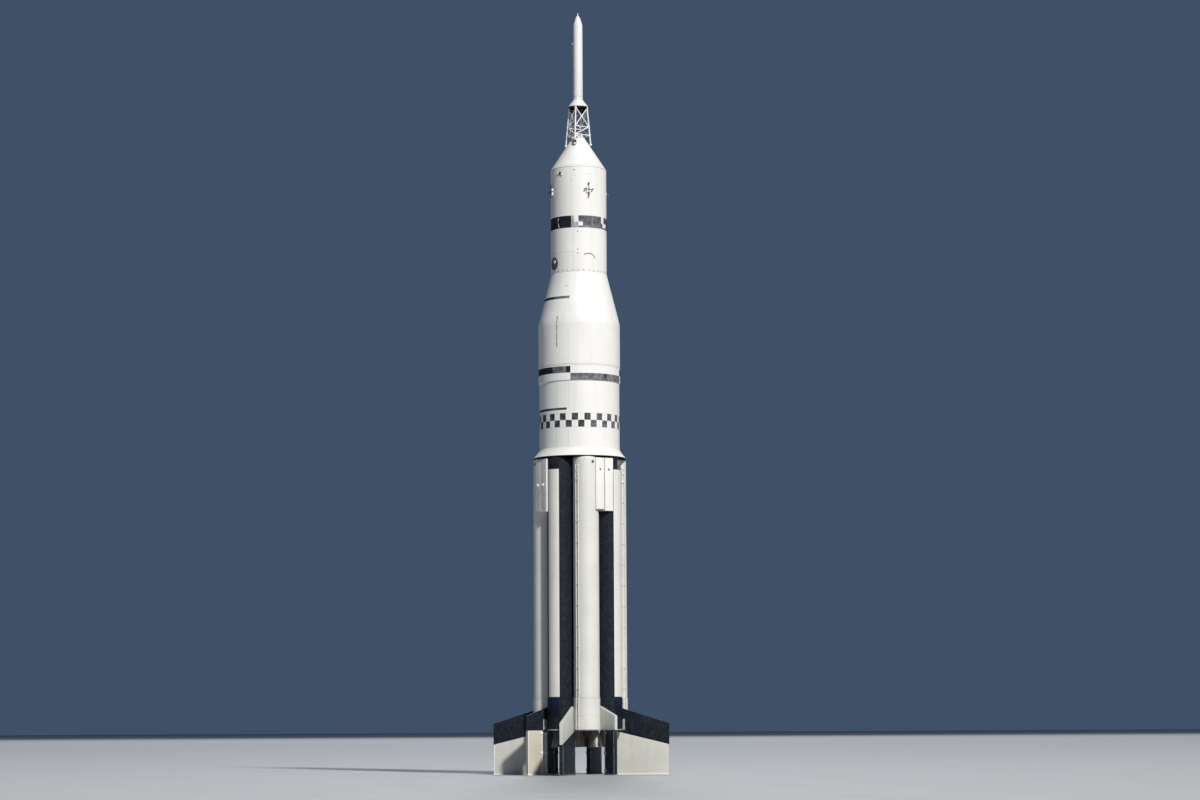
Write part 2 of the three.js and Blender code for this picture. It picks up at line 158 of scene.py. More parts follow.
def line_at(points, z):
    """Radius at a height on a line through [height, radius] pairs."""
    for (z0, r0), (z1, r1) in zip(points, points[1:]):
        if z <= z1:
            return r0 + (r1 - r0) * (z - z0) / (z1 - z0)
    return points[-1][1]


# Materials


class Nodes:
    """Short hand for a material's node tree."""

    def __init__(self, name):
        self.material = bpy.data.materials.new(name)
        self.material.use_nodes = True
        self.tree = self.material.node_tree
        self.tree.nodes.clear()
        self.shader = self.add("BsdfPrincipled")
        self.add("OutputMaterial", Surface=self.shader.outputs[0])
        self.place = self.add("TexCoord").outputs["Object"]

    def put(self, socket, value):
        """Gives a socket a value, a colour or another node's output."""
        if isinstance(value, bpy.types.NodeSocket):
            self.tree.links.new(value, socket)
        else:
            socket.default_value = (*value, 1.0) if socket.type == "RGBA" else value

    def feed(self, node, **inputs):
        """Fills the inputs of a node by name, with _ for a space."""
        for name, value in inputs.items():
            self.put(node.inputs[name.replace("_", " ")], value)

    def add(self, kind, **inputs):
        """Adds a node and fills its inputs."""
        node = self.tree.nodes.new(f"ShaderNode{kind}")
        self.feed(node, **inputs)
        return node

    def noise(self, scale, detail=4, rough=0.55, stretch=(1, 1, 1)):
        """Noise in the object's own metres. Stretch above 1 shrinks it along that axis."""
        place = self.add("Mapping", Vector=self.place, Scale=stretch).outputs[0]
        noise = self.add("TexNoise", Vector=place, Scale=scale, Detail=detail, Roughness=rough)
        return noise.outputs["Fac"]

    def spread(self, value, low, high, to_low=0.0, to_high=1.0):
        """Changes low..high to to_low..to_high, with soft ends."""
        node = self.add("MapRange", Value=value, From_Min=low, From_Max=high, To_Min=to_low, To_Max=to_high)
        node.interpolation_type = "SMOOTHSTEP"
        return node.outputs[0]

    def mix(self, share, a, b):
        """Colour between a and b. Each is a colour or another node's output."""
        node = self.add("Mix")
        node.data_type = "RGBA"
        for socket, value in ((0, share), (6, a), (7, b)):
            self.put(node.inputs[socket], value)
        return node.outputs[2]

    def layer(self, under, over, noise, low, high, share=1.0):
        """Lays a share of one colour over another, from where a noise passes low to where it passes high."""
        return self.mix(self.spread(noise, low, high, 0.0, share), under, over)

    def surface(self, colour, roughness, metallic=0.0, specular=0.5):
        """Leads the colour and the roughness to the shader, and gives back the material."""
        self.feed(self.shader, Base_Color=colour, Roughness=roughness)
        self.feed(self.shader, Metallic=metallic, Specular_IOR_Level=specular)
        return self.material

    def skin(self, noise, strength, distance):
        """Slightly uneven skin."""
        bump = self.add("Bump", Height=noise, Strength=strength, Distance=distance)
        self.feed(self.shader, Normal=bump.outputs[0])

    def paint(self, colour, rough, specular=0.5):
        """Finishes a paint, with the skin and the roughness that old paint has."""
        roughness = self.spread(self.noise(60), 0.3, 0.7, rough - 0.08, rough + 0.1)
        self.skin(self.noise(14, 5, 0.5), 0.25, 0.0015)
        return self.surface(colour, roughness, specular=specular)


def painted(name, base, worn, streak, speck, share, rough):
    """Old outdoor paint: mottled, with rain streaks, blotches and fine specks."""
    n = Nodes(name)
    colour = n.layer(base, worn, n.noise(4, 6), 0.35, 0.7)
    colour = n.layer(colour, streak, n.noise(24, 5, 0.6, (1, 1, 0.05)), 0.5, 0.78, 0.55)
    colour = n.layer(colour, speck, n.noise(95, 4, 0.65), 0.54, 0.74, share)
    colour = n.layer(colour, speck, n.noise(420, 3, 0.7), 0.6, 0.72, share)
    return n.paint(colour, rough)


def flaked(name, base, worn, flake, share, rough, under=None):
    """Dark paint gone patchy, with small light flakes.

    Under is the colour it fades to further down, and the model's heights between which it does.
    """
    n = Nodes(name)
    colour = n.layer(base, worn, n.noise(38, 5, 0.6), 0.4, 0.62)
    if under:
        lower_colour, low, high = under
        height = n.add("SeparateXYZ", Vector=n.place).outputs["Z"]
        colour = n.layer(lower_colour, colour, height, low, high)
    colour = n.layer(colour, flake, n.noise(140, 4, 0.7), 0.53, 0.76, share)
    colour = n.layer(colour, flake, n.noise(420, 3, 0.7), 0.56, 0.74, share * 0.7)
    return n.paint(colour, rough, 0.12)


def metal(name, base, tint, rough, stretch):
    """Bare metal with heat tint and fine brushing."""
    n = Nodes(name)
    colour = n.layer(base, tint, n.noise(12, 5), 0.35, 0.65)
    roughness = n.spread(n.noise(150, 3, 0.6, stretch), 0.3, 0.7, rough - 0.1, rough + 0.12)
    n.skin(n.noise(260, 2, 0.5, stretch), 0.15, 0.0006)
    return n.surface(colour, roughness, 0.9)


# Columns: base, worn, streak and speck colours, the specks' share, roughness.
PAINT_TABLE = {
    "white": ((0.80, 0.79, 0.76), (0.76, 0.75, 0.72), (0.67, 0.66, 0.63), (0.55, 0.55, 0.53), 0.16, 0.45),
    "tank_white": ((0.70, 0.69, 0.65), (0.65, 0.64, 0.60), (0.54, 0.53, 0.49), (0.38, 0.38, 0.36), 0.3, 0.5),
    "fin_white": ((0.61, 0.61, 0.57), (0.55, 0.55, 0.51), (0.43, 0.43, 0.40), (0.31, 0.31, 0.30), 0.3, 0.5),
    "faint": ((0.60, 0.60, 0.59), (0.55, 0.55, 0.54), (0.50, 0.50, 0.48), (0.40, 0.40, 0.40), 0.2, 0.6),
    "cream": ((0.56, 0.54, 0.43), (0.50, 0.48, 0.37), (0.40, 0.38, 0.29), (0.32, 0.30, 0.23), 0.3, 0.55),
    "support": ((0.62, 0.61, 0.56), (0.56, 0.55, 0.50), (0.42, 0.41, 0.37), (0.33, 0.33, 0.31), 0.3, 0.55),
    "tower": ((0.78, 0.77, 0.75), (0.72, 0.71, 0.69), (0.55, 0.54, 0.51), (0.45, 0.44, 0.42), 0.25, 0.45),
    # The seam paint also serves as painted shade: the flare's dark rim, holes, ports, slots and the shadow
    # arc.
    "seam": ((0.06, 0.06, 0.065), (0.09, 0.09, 0.09), (0.13, 0.13, 0.12), (0.16, 0.16, 0.16), 0.2, 0.7),
    "rusty": ((0.075, 0.055, 0.048), (0.12, 0.09, 0.078), (0.05, 0.045, 0.045), (0.2, 0.17, 0.15), 0.4, 0.75),
}
BLACK = (0.005, 0.008, 0.013)
# Columns: base, worn and flake colours, the flakes' share, roughness, what it fades to.
FLAKED_TABLE = {
    "black": (BLACK, (0.010, 0.014, 0.021), (0.11, 0.12, 0.145), 0.8, 0.55),
    "navy": ((0.006, 0.012, 0.018), (0.014, 0.022, 0.029), (0.12, 0.14, 0.15), 0.7, 0.55),
    "patchy": ((0.018, 0.021, 0.027), (0.075, 0.080, 0.090), (0.30, 0.30, 0.31), 0.6, 0.6),
    "faded": ((0.085, 0.088, 0.100), (0.20, 0.20, 0.215), (0.38, 0.38, 0.38), 0.6, 0.6),
    "dull": ((0.060, 0.063, 0.076), (0.155, 0.158, 0.178), (0.34, 0.34, 0.35), 0.6, 0.6),
    "worn": ((0.29, 0.29, 0.29), (0.42, 0.42, 0.41), (0.14, 0.14, 0.15), 0.4, 0.7),
    "blue": ((0.006, 0.008, 0.040), (0.009, 0.012, 0.050), (0.05, 0.06, 0.11), 0.5, 0.5, (BLACK, 0.43, 0.53)),
}
# Columns: base colour, tint, roughness, stretch of the brushing.
METAL_TABLE = {
    "engine": ((0.30, 0.28, 0.26), (0.20, 0.17, 0.15), 0.42, (1, 1, 0.1)),
    "steel": ((0.36, 0.36, 0.36), (0.27, 0.26, 0.25), 0.48, (1, 1, 1)),
    "dark": ((0.022, 0.022, 0.025), (0.04, 0.038, 0.036), 0.5, (1, 1, 1)),
}
PAINTS = {name: painted(f"{name}_paint", *row) for name, row in PAINT_TABLE.items()}
PAINTS.update({name: flaked(f"{name}_paint", *row) for name, row in FLAKED_TABLE.items()})
PAINTS.update({name: metal(f"{name}_metal", *row) for name, row in METAL_TABLE.items()})


# Mesh pieces

ROUND_STEPS = 240
SEAM_WIDE = 0.03
SEAM_DEEP = 0.014
SEAM_SLOPE = SEAM_DEEP / 3
# How far bands and patches reach into the wall.
SUNK = 0.02


class Piece:
    """A mesh put together from closed parts. Each part has a paint, or else the piece's own.

    Round parts turn about the piece's upright axis, which may move before the next part is made. Small parts
    stand on its wall, which is a radius or gives one for a height.
    """

    def __init__(self, name, base, wall=0.0, axis=(0, 0, 0)):
        self.name = name
        self.base = base
        self.wall = wall
        self.axis = Vector(axis)
        self.paints = []
        self.mesh = bmesh.new()

    def wall_r(self, z):
        """Radius of the wall at a height."""
        return self.wall(z) if callable(self.wall) else self.wall

    def spot(self, radius, bearing, z, side=0.0):
        """Point at a radius, bearing and height from the axis, moved sideways along the next bearing."""
        return self.axis + at(radius, bearing, z) + outward(bearing + 90) * side

    def face(self, corners, paint=None):
        """One face, in the material slot of its paint. Corners that are the same point count once."""
        unique = list(dict.fromkeys(corners))
        if len(unique) < 3:
            return
        paint = paint or self.base
        if paint not in self.paints:
            self.paints.append(paint)
        self.mesh.faces.new(unique).material_index = self.paints.index(paint)

    def skin(self, rings, paint=None, whole=False):
        """Faces between rings of points, with a cap at each end of a run that isn't whole.

        Paint is a name, or gives one for a face's place along the run and round the ring.
        """
        steps = max(len(ring) for ring in rings)
        rings = [[self.mesh.verts.new(p) for p in ring] for ring in rings]
        pairs = list(zip(rings, rings[1:] + rings[:1]))
        for i, (near, far) in enumerate(pairs if whole else pairs[:-1]):
            for k in range(steps):
                n = k + 1
                corners = [near[k % len(near)], near[n % len(near)], far[n % len(far)], far[k % len(far)]]
                self.face(corners, paint(i, k) if callable(paint) else paint)
        if not whole:
            cap_paint = None if callable(paint) else paint
            self.face(rings[0][::-1], cap_paint)
            self.face(rings[-1], cap_paint)

    def lathe(self, profile, segments=ROUND_STEPS, start=0.0, paint=None):
        """Turns [radius, height] pairs about the axis. Paint may give a name for a bearing and height."""
        turns = [start + 360.0 * i / segments for i in range(segments)]

        def chosen(level, step):
            z = (profile[level][1] + profile[level + 1][1]) / 2
            return paint(start + 360.0 * (step + 0.5) / segments, z)

        rings = [[self.spot(r, turn, z) for turn in (turns if r else turns[:1])] for r, z in profile]
        self.skin(rings, chosen if callable(paint) else paint)

    def hoop(self, section, steps, first=0.0, last=360.0, paint=None):
        """Sweeps a closed section of [radius, height] pairs round the axis, all the way or as an arc."""
        whole = last - first == 360
        turns = [first + (last - first) * i / steps for i in range(steps if whole else steps + 1)]
        self.skin([[self.spot(r, turn, z) for r, z in section] for turn in turns], paint, whole)

    def shell(self, levels, seams=(), paint=None, steps=ROUND_STEPS, foot=(), top=()):
        """The wall itself, with a groove at each seam, and what its profile has below and above."""
        points = [(z, 0.0) for z in levels]
        for z in seams:
            half, flat = SEAM_WIDE / 2, SEAM_WIDE / 2 - SEAM_SLOPE
            points += [(z - half, 0.0), (z - flat, -SEAM_DEEP), (z + flat, -SEAM_DEEP), (z + half, 0.0)]
        profile = [(self.wall_r(z) + offset, z) for z, offset in sorted(points)]
        self.lathe(closed([*foot, *profile, *top]), steps, paint=paint)

    def band(self, low, high, paint, proud, steps, first=0.0, last=360.0):
        """Thin band that lies on the wall, all the way round or as an arc."""
        inner, outer = [self.wall_r((low + high) / 2) + off for off in (-SUNK, proud)]
        self.hoop([(inner, low), (outer, low), (outer, high), (inner, high)], steps, first, last, paint)

    def line(self, z, wide, first=0.0, last=360.0):
        """Thin grey line round the wall."""
        self.band(z - wide / 2, z + wide / 2, "faint", 0.003, round((last - first) / 3), first, last)

    def patch(self, bearing, wide, low, high, paint="faint", proud=0.004):
        """Thin plate that follows the wall."""
        half = math.degrees(wide / 2 / self.wall_r((low + high) / 2))
        self.band(low, high, paint, proud, max(1, round(half)), bearing - half, bearing + half)

    def tube(self, points, radius, sides=10, paint=None, whole=False, tip=None):
        """Round tube along a list of points. Its far end may have another radius."""
        count = len(points)
        tip = radius if tip is None else tip
        rings = []
        for i, p in enumerate(points):
            ahead = points[(i + 1) % count] if whole or i + 1 < count else p
            behind = points[i - 1] if whole or i else p
            turn = (ahead - behind).to_track_quat("Z", "Y").to_matrix()
            r = radius + (tip - radius) * i / (count - 1)
            angles = [2 * math.pi * k / sides for k in range(sides)]
            rings.append([p + turn @ Vector((r * math.cos(t), r * math.sin(t), 0)) for t in angles])
        self.skin(rings, paint, whole)

    def bar(self, foot, way, low, high, radius, sides, paint=None, tip=None):
        """Round rod along a direction, from one distance from a point to another."""
        self.tube([foot + way * low, foot + way * high], radius, sides, paint, tip=tip)

    def pin(self, bearing, z, low, high, radius, sides, paint=None, tip=None, side=0.0):
        """Round rod that stands on the wall, from one distance off it to another."""
        foot = self.spot(self.wall_r(z), bearing, z, side)
        self.bar(foot, outward(bearing), low, high, radius, sides, paint, tip)

    def stud(self, bearing, z, wide, high, sides=6, paint=None, side=0.0, off=0.0):
        """Low round head on the wall."""
        self.pin(bearing, z, off - high, off + high, wide, sides, paint, wide * 0.75, side)

    def studs(self, count, first, z, *stud):
        """Studs at even steps all the way round."""
        for k in range(count):
            self.stud(first + 360 * k / count, z, *stud)

    def prism(self, outline, thick, place, bevel=0.0, paint=None):
        """Flat plate from an outline in its own XY plane, centred on it, put in place by a matrix."""
        part = bmesh.new()
        low, high = [[part.verts.new((x, y, z)) for x, y in outline] for z in (-thick / 2, thick / 2)]
        part.faces.new(low[::-1])
        part.faces.new(high)
        for i in range(len(outline)):
            j = (i + 1) % len(outline)
            part.faces.new([low[i], low[j], high[j], high[i]])
        if bevel:
            bmesh.ops.bevel(part, geom=part.edges[:], offset=bevel, segments=2, profile=0.7, affect="EDGES")
        bmesh.ops.transform(part, matrix=place, verts=part.verts)
        made = {v: self.mesh.verts.new(v.co) for v in part.verts}
        for f in part.faces:
            self.face([made[v] for v in f.verts], paint)
        part.free()

    def block(self, size, radius, bearing, z, bevel=0.0, paint=None, side=0.0):
        """Box with rounded edges, square to a bearing. Size is outward, level and up."""
        x, y = size[0] / 2, size[1] / 2
        place = turned_to(bearing, self.spot(radius, bearing, z, side))
        self.prism([(-x, -y), (x, -y), (x, y), (-x, y)], size[2], place, bevel, paint)

    def finish(self, node, body="root", sharp=32):
        """Makes the object at the model's scale, standing on the ground, and hangs it on its body."""
        bmesh.ops.translate(self.mesh, vec=(0, 0, -GROUND_Z), verts=self.mesh.verts)
        bmesh.ops.scale(self.mesh, vec=(SCALE,) * 3, verts=self.mesh.verts)
        bmesh.ops.recalc_face_normals(self.mesh, faces=self.mesh.faces[:])
        data = bpy.data.meshes.new(self.name)
        self.mesh.to_mesh(data)
        self.mesh.free()
        for paint in self.paints:
            data.materials.append(PAINTS[paint])
        data.shade_smooth()
        data.set_sharp_from_angle(angle=math.radians(sharp))
        piece = linked(self.name, data)
        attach(piece, body)
        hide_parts(node)


def placed(axes, centre):
    """Matrix from three axes and a centre."""
    return Matrix.Translation(centre) @ Matrix(axes).transposed().to_4x4()


def turned_to(bearing, centre):
    """Matrix whose X axis points outward at a bearing, Y runs level along the next bearing and Z is up."""
    return placed((outward(bearing), outward(bearing + 90), UP), centre)


def upright(bearing, side=0.0):
    """Matrix that stands an outline up, X outward at a bearing and Y up, moved along the next bearing."""
    out = outward(bearing)
    return placed((out, UP, out.cross(UP)), outward(bearing + 90) * side)


def on_seam(z, seams):
    """Whether a height lies in a groove."""
    return any(abs(z - seam) < SEAM_WIDE / 2 for seam in seams)


def seamed(base, seams):
    """Paint for a wall with grey grooves."""
    return lambda bearing, z: "faint" if on_seam(z, seams) else base


def closed(profile):
    """Profile with its ends led to the axis."""
    return [(0, profile[0][1])] + profile + [(0, profile[-1][1])]


# First stage

TANK_STEPS = 144
LOBE_STEPS = 24
# White strip of the black tanks and blue patch under it: lower and upper edge, reach either way in degrees.
STRIP_LOW, STRIP_HIGH, STRIP_HALF = 4.72, 20.33, 30
BLUE_LOW, BLUE_HALF = 3.4, 27.5
# Columns: bearing from the tank's own, radius.
PIPES = ((-46, 0.036), (-60, 0.03))
PIPE_TOP_Z = 20.6
# Heights of the pipes' clips on the tail and on the tanks, and of the brackets beside them.
TAIL_CLIPS_Z = (2.75, 3.5, 4.3)
TANK_CLIPS_Z = [5.3 + 1.43 * k for k in range(11)]
BRACKETS_Z = (19.6, 20.2)
BRACKET_TURN = -52
WELDS_Z = [6.55 + 2.05 * k for k in range(7)]
# Tanks with bare grey skin above their strip, and its first and last bearing from the tank's own.
WORN_TOPS = (67.5, 247.5)
WORN_SPAN = (-9, 35)
PORT = {"turn": 22.5, "z": 20.81, "r": 0.1}
CENTRE_SEAMS = (8.6, 12.7, 16.8)


def lobed_ring(lobe_r):
    """Points round the eight-lobed tail, at height 0. Each lobe reaches to where it meets the next."""
    sin, cos = math.sin(math.radians(22.5)), math.cos(math.radians(22.5))
    valley = TANK_CIRCLE_R * cos + math.sqrt(LOBE_R**2 - (TANK_CIRCLE_R * sin) ** 2)
    reach = math.degrees(math.atan2(valley * sin, valley * cos - TANK_CIRCLE_R))
    turns = [reach * (2.0 * i / LOBE_STEPS - 1) for i in range(LOBE_STEPS)]
    centres = [(bearing, at(TANK_CIRCLE_R, bearing, 0)) for bearing in TANK_BEARINGS]
    return [centre + outward(bearing + turn) * lobe_r for bearing, centre in centres for turn in turns]


def is_black(tank):
    """Tanks are white and black in turn, and the tail's lobes match them."""
    return tank % 2 == 1


def make_tail():
    piece = Piece("tail_skin", "black", LOBE_R)
    rim_top = TAIL_Z + 0.07
    wall_r = LOBE_R - 0.012
    levels = [(LOBE_R, TAIL_Z), (LOBE_R, rim_top), (wall_r, rim_top + 0.01), (wall_r, 3.49), (LOBE_R, 3.5),
              (LOBE_R, 3.55), (wall_r, 3.56), (wall_r, TAIL_TOP_Z - 0.06), (LOBE_R, TAIL_TOP_Z - 0.05),
              (LOBE_R, TAIL_TOP_Z)]
    cavity = [p.normalized() * CAVITY_R for p in lobed_ring(LOBE_R)]
    rings = [[p + UP * z for p in cavity] for z in (CAVITY_TOP_Z, TAIL_Z)]
    rings += [[p + UP * z for p in lobed_ring(radius)] for radius, z in levels]

    def paint(level, step):
        """The cavity's wall, the worn underside and rim, then the lobes."""
        if level in (1, 2):
            return "worn"
        return "black" if level == 0 or is_black(step // LOBE_STEPS) else "tank_white"

    piece.skin(rings, paint)
    for tank, bearing in enumerate(TANK_BEARINGS):
        piece.axis = at(TANK_CIRCLE_R, bearing, 0)
        add_lobe_details(piece, bearing, is_black(tank))
    piece.finish("tail_skirt", sharp=18)


def add_lobe_details(piece, bearing, black):
    """Bolts along a lobe's rim, and a blue patch under a black tank or the pipes down a white lobe."""
    for turn in range(-70, 71, 10):
        piece.stud(bearing + turn, TAIL_Z + 0.14, 0.02, 0.01, 6, None if black else "tank_white")
    if black:
        piece.patch(bearing, 2 * math.radians(BLUE_HALF) * LOBE_R, BLUE_LOW, TAIL_TOP_Z, "blue")
        return
    for turn, radius in PIPES:
        foot = (LOBE_R + radius * 0.7, bearing + turn)
        piece.bar(piece.spot(*foot, 0), UP, TAIL_Z + 0.02, TAIL_TOP_Z, radius, 10, "tank_white")
        for z in TAIL_CLIPS_Z:
            piece.block((radius * 2.4, radius * 3.6, 0.07), *foot, z, 0.006, "tank_white")


def tank_profile():
    """Tank with slim weld bands and a rounded shoulder."""
    shoulder_z = TANK_TOP_Z - TANK_SHOULDER_R
    profile = [(TANK_R, TAIL_TOP_Z + GAP), (TANK_R, STRIP_LOW)]
    for z in WELDS_Z:
        for proud, up in ((0, -0.03), (0.005, -0.02), (0.005, 0.02), (0, 0.03)):
            profile.append((TANK_R + proud, z + up))
    profile += [(TANK_R, STRIP_HIGH), (TANK_R, shoulder_z)]
    for step in range(1, 7):
        a = math.pi / 2 * step / 6
        r = TANK_R - TANK_SHOULDER_R * (1 - math.cos(a))
        profile.append((r, shoulder_z + TANK_SHOULDER_R * math.sin(a)))
    return closed(profile)


def striped(bearing):
    """Paint of a black tank: a white strip down its outer side, blue under it and black above it."""
    def paint(around, z):
        if z > STRIP_HIGH or not in_span(around, bearing - STRIP_HALF, bearing + STRIP_HALF):
            return "black"
        return "blue" if z < STRIP_LOW else "tank_white"

    return paint


def make_tanks():
    for i, bearing in enumerate(TANK_BEARINGS):
        black = is_black(i)
        base = "black" if black else "tank_white"
        piece = Piece(f"tank_skin_{i + 1}", base, TANK_R, at(TANK_CIRCLE_R, bearing, 0))
        piece.lathe(tank_profile(), TANK_STEPS, bearing, striped(bearing) if black else base)
        if bearing in WORN_TOPS:
            first, last = [math.radians(turn) for turn in WORN_SPAN]
            middle, low, high = sum(WORN_SPAN) / 2, STRIP_HIGH + 0.03, TANK_TOP_Z - TANK_SHOULDER_R
            piece.patch(bearing + middle, (last - first) * TANK_R, low, high, "faded", 0.003)
        if not black:
            add_pipes(piece, bearing)
        piece.finish(f"tank_{i + 1}", sharp=18)


def add_pipes(piece, bearing):
    """Two slim pipes down a white tank's side, their clips and elbows, and a round port near its top, whose
    dark face is painted shade.
    """
    elbow = 0.08
    for turn, radius in PIPES:
        foot_r, around = TANK_R + radius * 0.8, bearing + turn
        line = [(foot_r, TAIL_TOP_Z + GAP), (foot_r, PIPE_TOP_Z), (foot_r - elbow, PIPE_TOP_Z + elbow)]
        piece.tube([piece.spot(r, around, z) for r, z in line], radius)
        for z in TANK_CLIPS_Z:
            piece.block((radius * 2.6, radius * 3.8, 0.08), foot_r, around, z, 0.006)
    for z in BRACKETS_Z:
        piece.block((0.07, 0.16, 0.12), TANK_R + 0.02, bearing + BRACKET_TURN, z, 0.01, "white")
    port, port_z, port_r = bearing + PORT["turn"], PORT["z"], PORT["r"]
    piece.pin(port, port_z, -0.05, 0.014, port_r + 0.03, 24, "faint")
    # Dark disc of the port: painted shade in its opening.
    piece.pin(port, port_z, 0, 0.022, port_r, 24, "seam")


def make_centre_tank():
    piece = Piece("centre_tank_skin", "tank_white", CENTRE_TANK_R)
    piece.shell((TAIL_TOP_Z + GAP, TANK_TOP_Z), CENTRE_SEAMS, steps=96)
    piece.finish("centre_tank")


def make_spider():
    """Eight I-section beams on the tanks' tops, a plate over them and a hub."""
    piece = Piece("spider_beam_frame", "black")
    low, high = TANK_TOP_Z + GAP, TANK_TOP_Z + GAP + 0.23
    flange, wide, web = 0.035, 0.34, 0.06
    hub_r, plate_r, plate_thick, length = 1.0, 2.96, 0.04, 2.0
    middle_r, middle_z, web_tall = hub_r + length / 2 - 0.05, (low + high) / 2, high - low - flange
    piece.lathe(closed([(hub_r, low), (hub_r, STAGE2_Z)]), 64)
    piece.lathe(closed([(plate_r, high - plate_thick / 2), (plate_r, high + plate_thick / 2)]), 96)
    stiffeners = (1.5, 2.0, 2.5, 2.9)
    # Flanges and web of a beam. Columns: height, width and thickness.
    section = ((low + flange / 2, wide, flange), (high - flange / 2, wide, flange), (middle_z, web, web_tall))
    for bearing in TANK_BEARINGS:
        for z, across, tall in section:
            piece.block((length, across, tall), middle_r, bearing, z, 0.004)
        for r in stiffeners:
            piece.block((0.03, wide * 0.95, web_tall), r, bearing, middle_z)
    piece.finish("spider_beam")


def fairing_outline(first, last):
    """Level section of part of a box fairing: its flat face, and the tanks' curve behind it."""
    tank_x, tank_y = [TANK_CIRCLE_R * share(math.radians(22.5)) for share in (math.cos, math.sin)]
    back = []
    for step in range(9):
        y = last + (first - last) * step / 8
        reach = math.sqrt(max((TANK_R + 0.01) ** 2 - (abs(y) - tank_y) ** 2, 0))
        back.append((tank_x + reach, y))
    return [(FAIRING_R, first), (FAIRING_R, last)] + back


def make_fairings():
    seam_half = 0.022
    # Columns: first and last place across the face, lower edge.
    halves = ((-FAIRING_HALF, -seam_half, FAIRING_Z + 0.1), (seam_half, FAIRING_HALF, FAIRING_Z))
    for i, bearing in enumerate(STUB_BEARINGS):
        piece = Piece(f"valley_fairing_box_{i + 1}", "white", FAIRING_R)
        for first, last, low in halves:
            place = turned_to(bearing, (0, 0, (low + FAIRING_TOP_Z) / 2))
            piece.prism(fairing_outline(first, last), FAIRING_TOP_Z - low, place, 0.01)
            add_fairing_panel(piece, bearing, first, last, low)
        # Dark block deep in the slot between the two halves: painted shade in the gap.
        middle, tall = (FAIRING_Z + 0.12 + FAIRING_TOP_Z) / 2, FAIRING_TOP_Z - FAIRING_Z - 0.14
        piece.block((0.5, 0.06, tall), FAIRING_R - 0.29, bearing, middle, 0, "seam")
        add_fairing_pins(piece, bearing)
        piece.finish(f"valley_fairing_{i + 1}")


def add_fairing_panel(piece, bearing, first, last, low):
    """Raised skin, a hem, edge strips and rivets on one half of a box fairing's face."""
    tall, wide = FAIRING_TOP_Z - low, last - first
    middle, centre = (low + FAIRING_TOP_Z) / 2, (first + last) / 2
    piece.block((0.012, wide - 0.16, tall - 0.2), FAIRING_R + 0.004, bearing, middle, 0.003, side=centre)
    piece.block((0.03, wide - 0.02, 0.05), FAIRING_R + 0.01, bearing, low + 0.03, 0.006, side=centre)
    for y in (first + 0.035, last - 0.035):
        piece.block((0.014, 0.045, tall - 0.02), FAIRING_R + 0.004, bearing, middle, 0.004, side=y)
        for k in range(16):
            piece.stud(bearing, low + 0.15 + (tall - 0.3) * k / 15, 0.012, 0.006, side=y, off=0.012)


def add_fairing_pins(piece, bearing):
    """Two dark discs with their rings near a fairing's top, standing for holes whose darkness is painted
    shade, or two white knobs on short stalks.
    """
    hole_z, hole_side = 20.3, 0.35
    knob_z, knob_side = 19.3, 0.34
    for way in (-1, 1):
        if bearing in PALE_FIN_BEARINGS:
            piece.pin(bearing, hole_z, -0.02, 0.018, 0.085, 20, "faint", side=way * hole_side)
            piece.pin(bearing, hole_z, 0, 0.024, 0.065, 20, "seam", side=way * hole_side)
        else:
            piece.pin(bearing, knob_z, -0.02, 0.06, 0.05, 16, side=way * knob_side)
            piece.pin(bearing, knob_z, 0.05, 0.15, 0.1, 20, tip=0.08, side=way * knob_side)


# Fins and their supports


def fin_edge(tip_r, edge, r):
    """Height at a radius on a fin's edge, which has a root and a tip height."""
    return edge[0] + (r - FIN_ROOT_R) / (tip_r - FIN_ROOT_R) * (edge[1] - edge[0])


def fin_outline(tip_r, low, high, root_r, inset=0.0):
    """Outline of a fin from a root radius out, or the same drawn in by an inset."""
    ends = (root_r + inset, tip_r - inset)
    foot = [(r, fin_edge(tip_r, low, r) + inset) for r in ends]
    return foot + [(r, fin_edge(tip_r, high, r) - inset) for r in reversed(ends)]


def make_fins():
    for kind, (bearings, tip_r, low, high, plate, light) in FINS.items():
        blade = fin_outline(tip_r, low, high, BLADE_ROOT_R)
        skin = fin_outline(tip_r, low, high, BLADE_ROOT_R + 0.5, 0.07)
        tops = [fin_edge(tip_r, low, r) - GAP for r in plate]
        for i, bearing in enumerate(bearings):
            pale = bearing in PALE_FIN_BEARINGS
            piece = Piece(f"{kind}_fin_blade_{i + 1}", "fin_white" if pale else "black", FIN_THICK / 2)
            piece.prism(blade, FIN_THICK, upright(bearing), 0.015)
            for way in (-1, 1):
                add_fin_skin(piece, bearing, skin, way)
                if not pale:
                    size, r, z = FIN_PLATE
                    piece.block(size, r, bearing, z, 0.003, "worn", way * (FIN_THICK / 2 + 0.007))
            piece.finish(f"{kind}_fin_{i + 1}")
            piece = Piece(f"{kind}_support_plate_{i + 1}", "navy" if pale else light)
            add_support(piece, bearing, plate, tops, "faded" if pale else "white")
            piece.finish(f"{kind}_support_{i + 1}")


def add_fin_skin(piece, bearing, outline, way):
    """Skin plate on one face of a fin, with a border of rivets that stands off it at the tip."""
    pitch, tip_shift = 0.22, 0.035
    piece.prism(outline, 0.012, upright(bearing, way * (FIN_THICK / 2 + 0.003)), 0.003)
    skin = [Vector(corner) for corner in outline]
    for a, b in zip(skin, skin[1:] + skin[:1]):
        count = max(2, round((b - a).length / pitch))
        for k in range(count):
            p = a.lerp(b, (k + 0.5) / count)
            r = p.x + (tip_shift if a.x == b.x == skin[1].x else 0)
            piece.stud(bearing + 90 * way, p.y, 0.013, 0.012, side=-way * r)


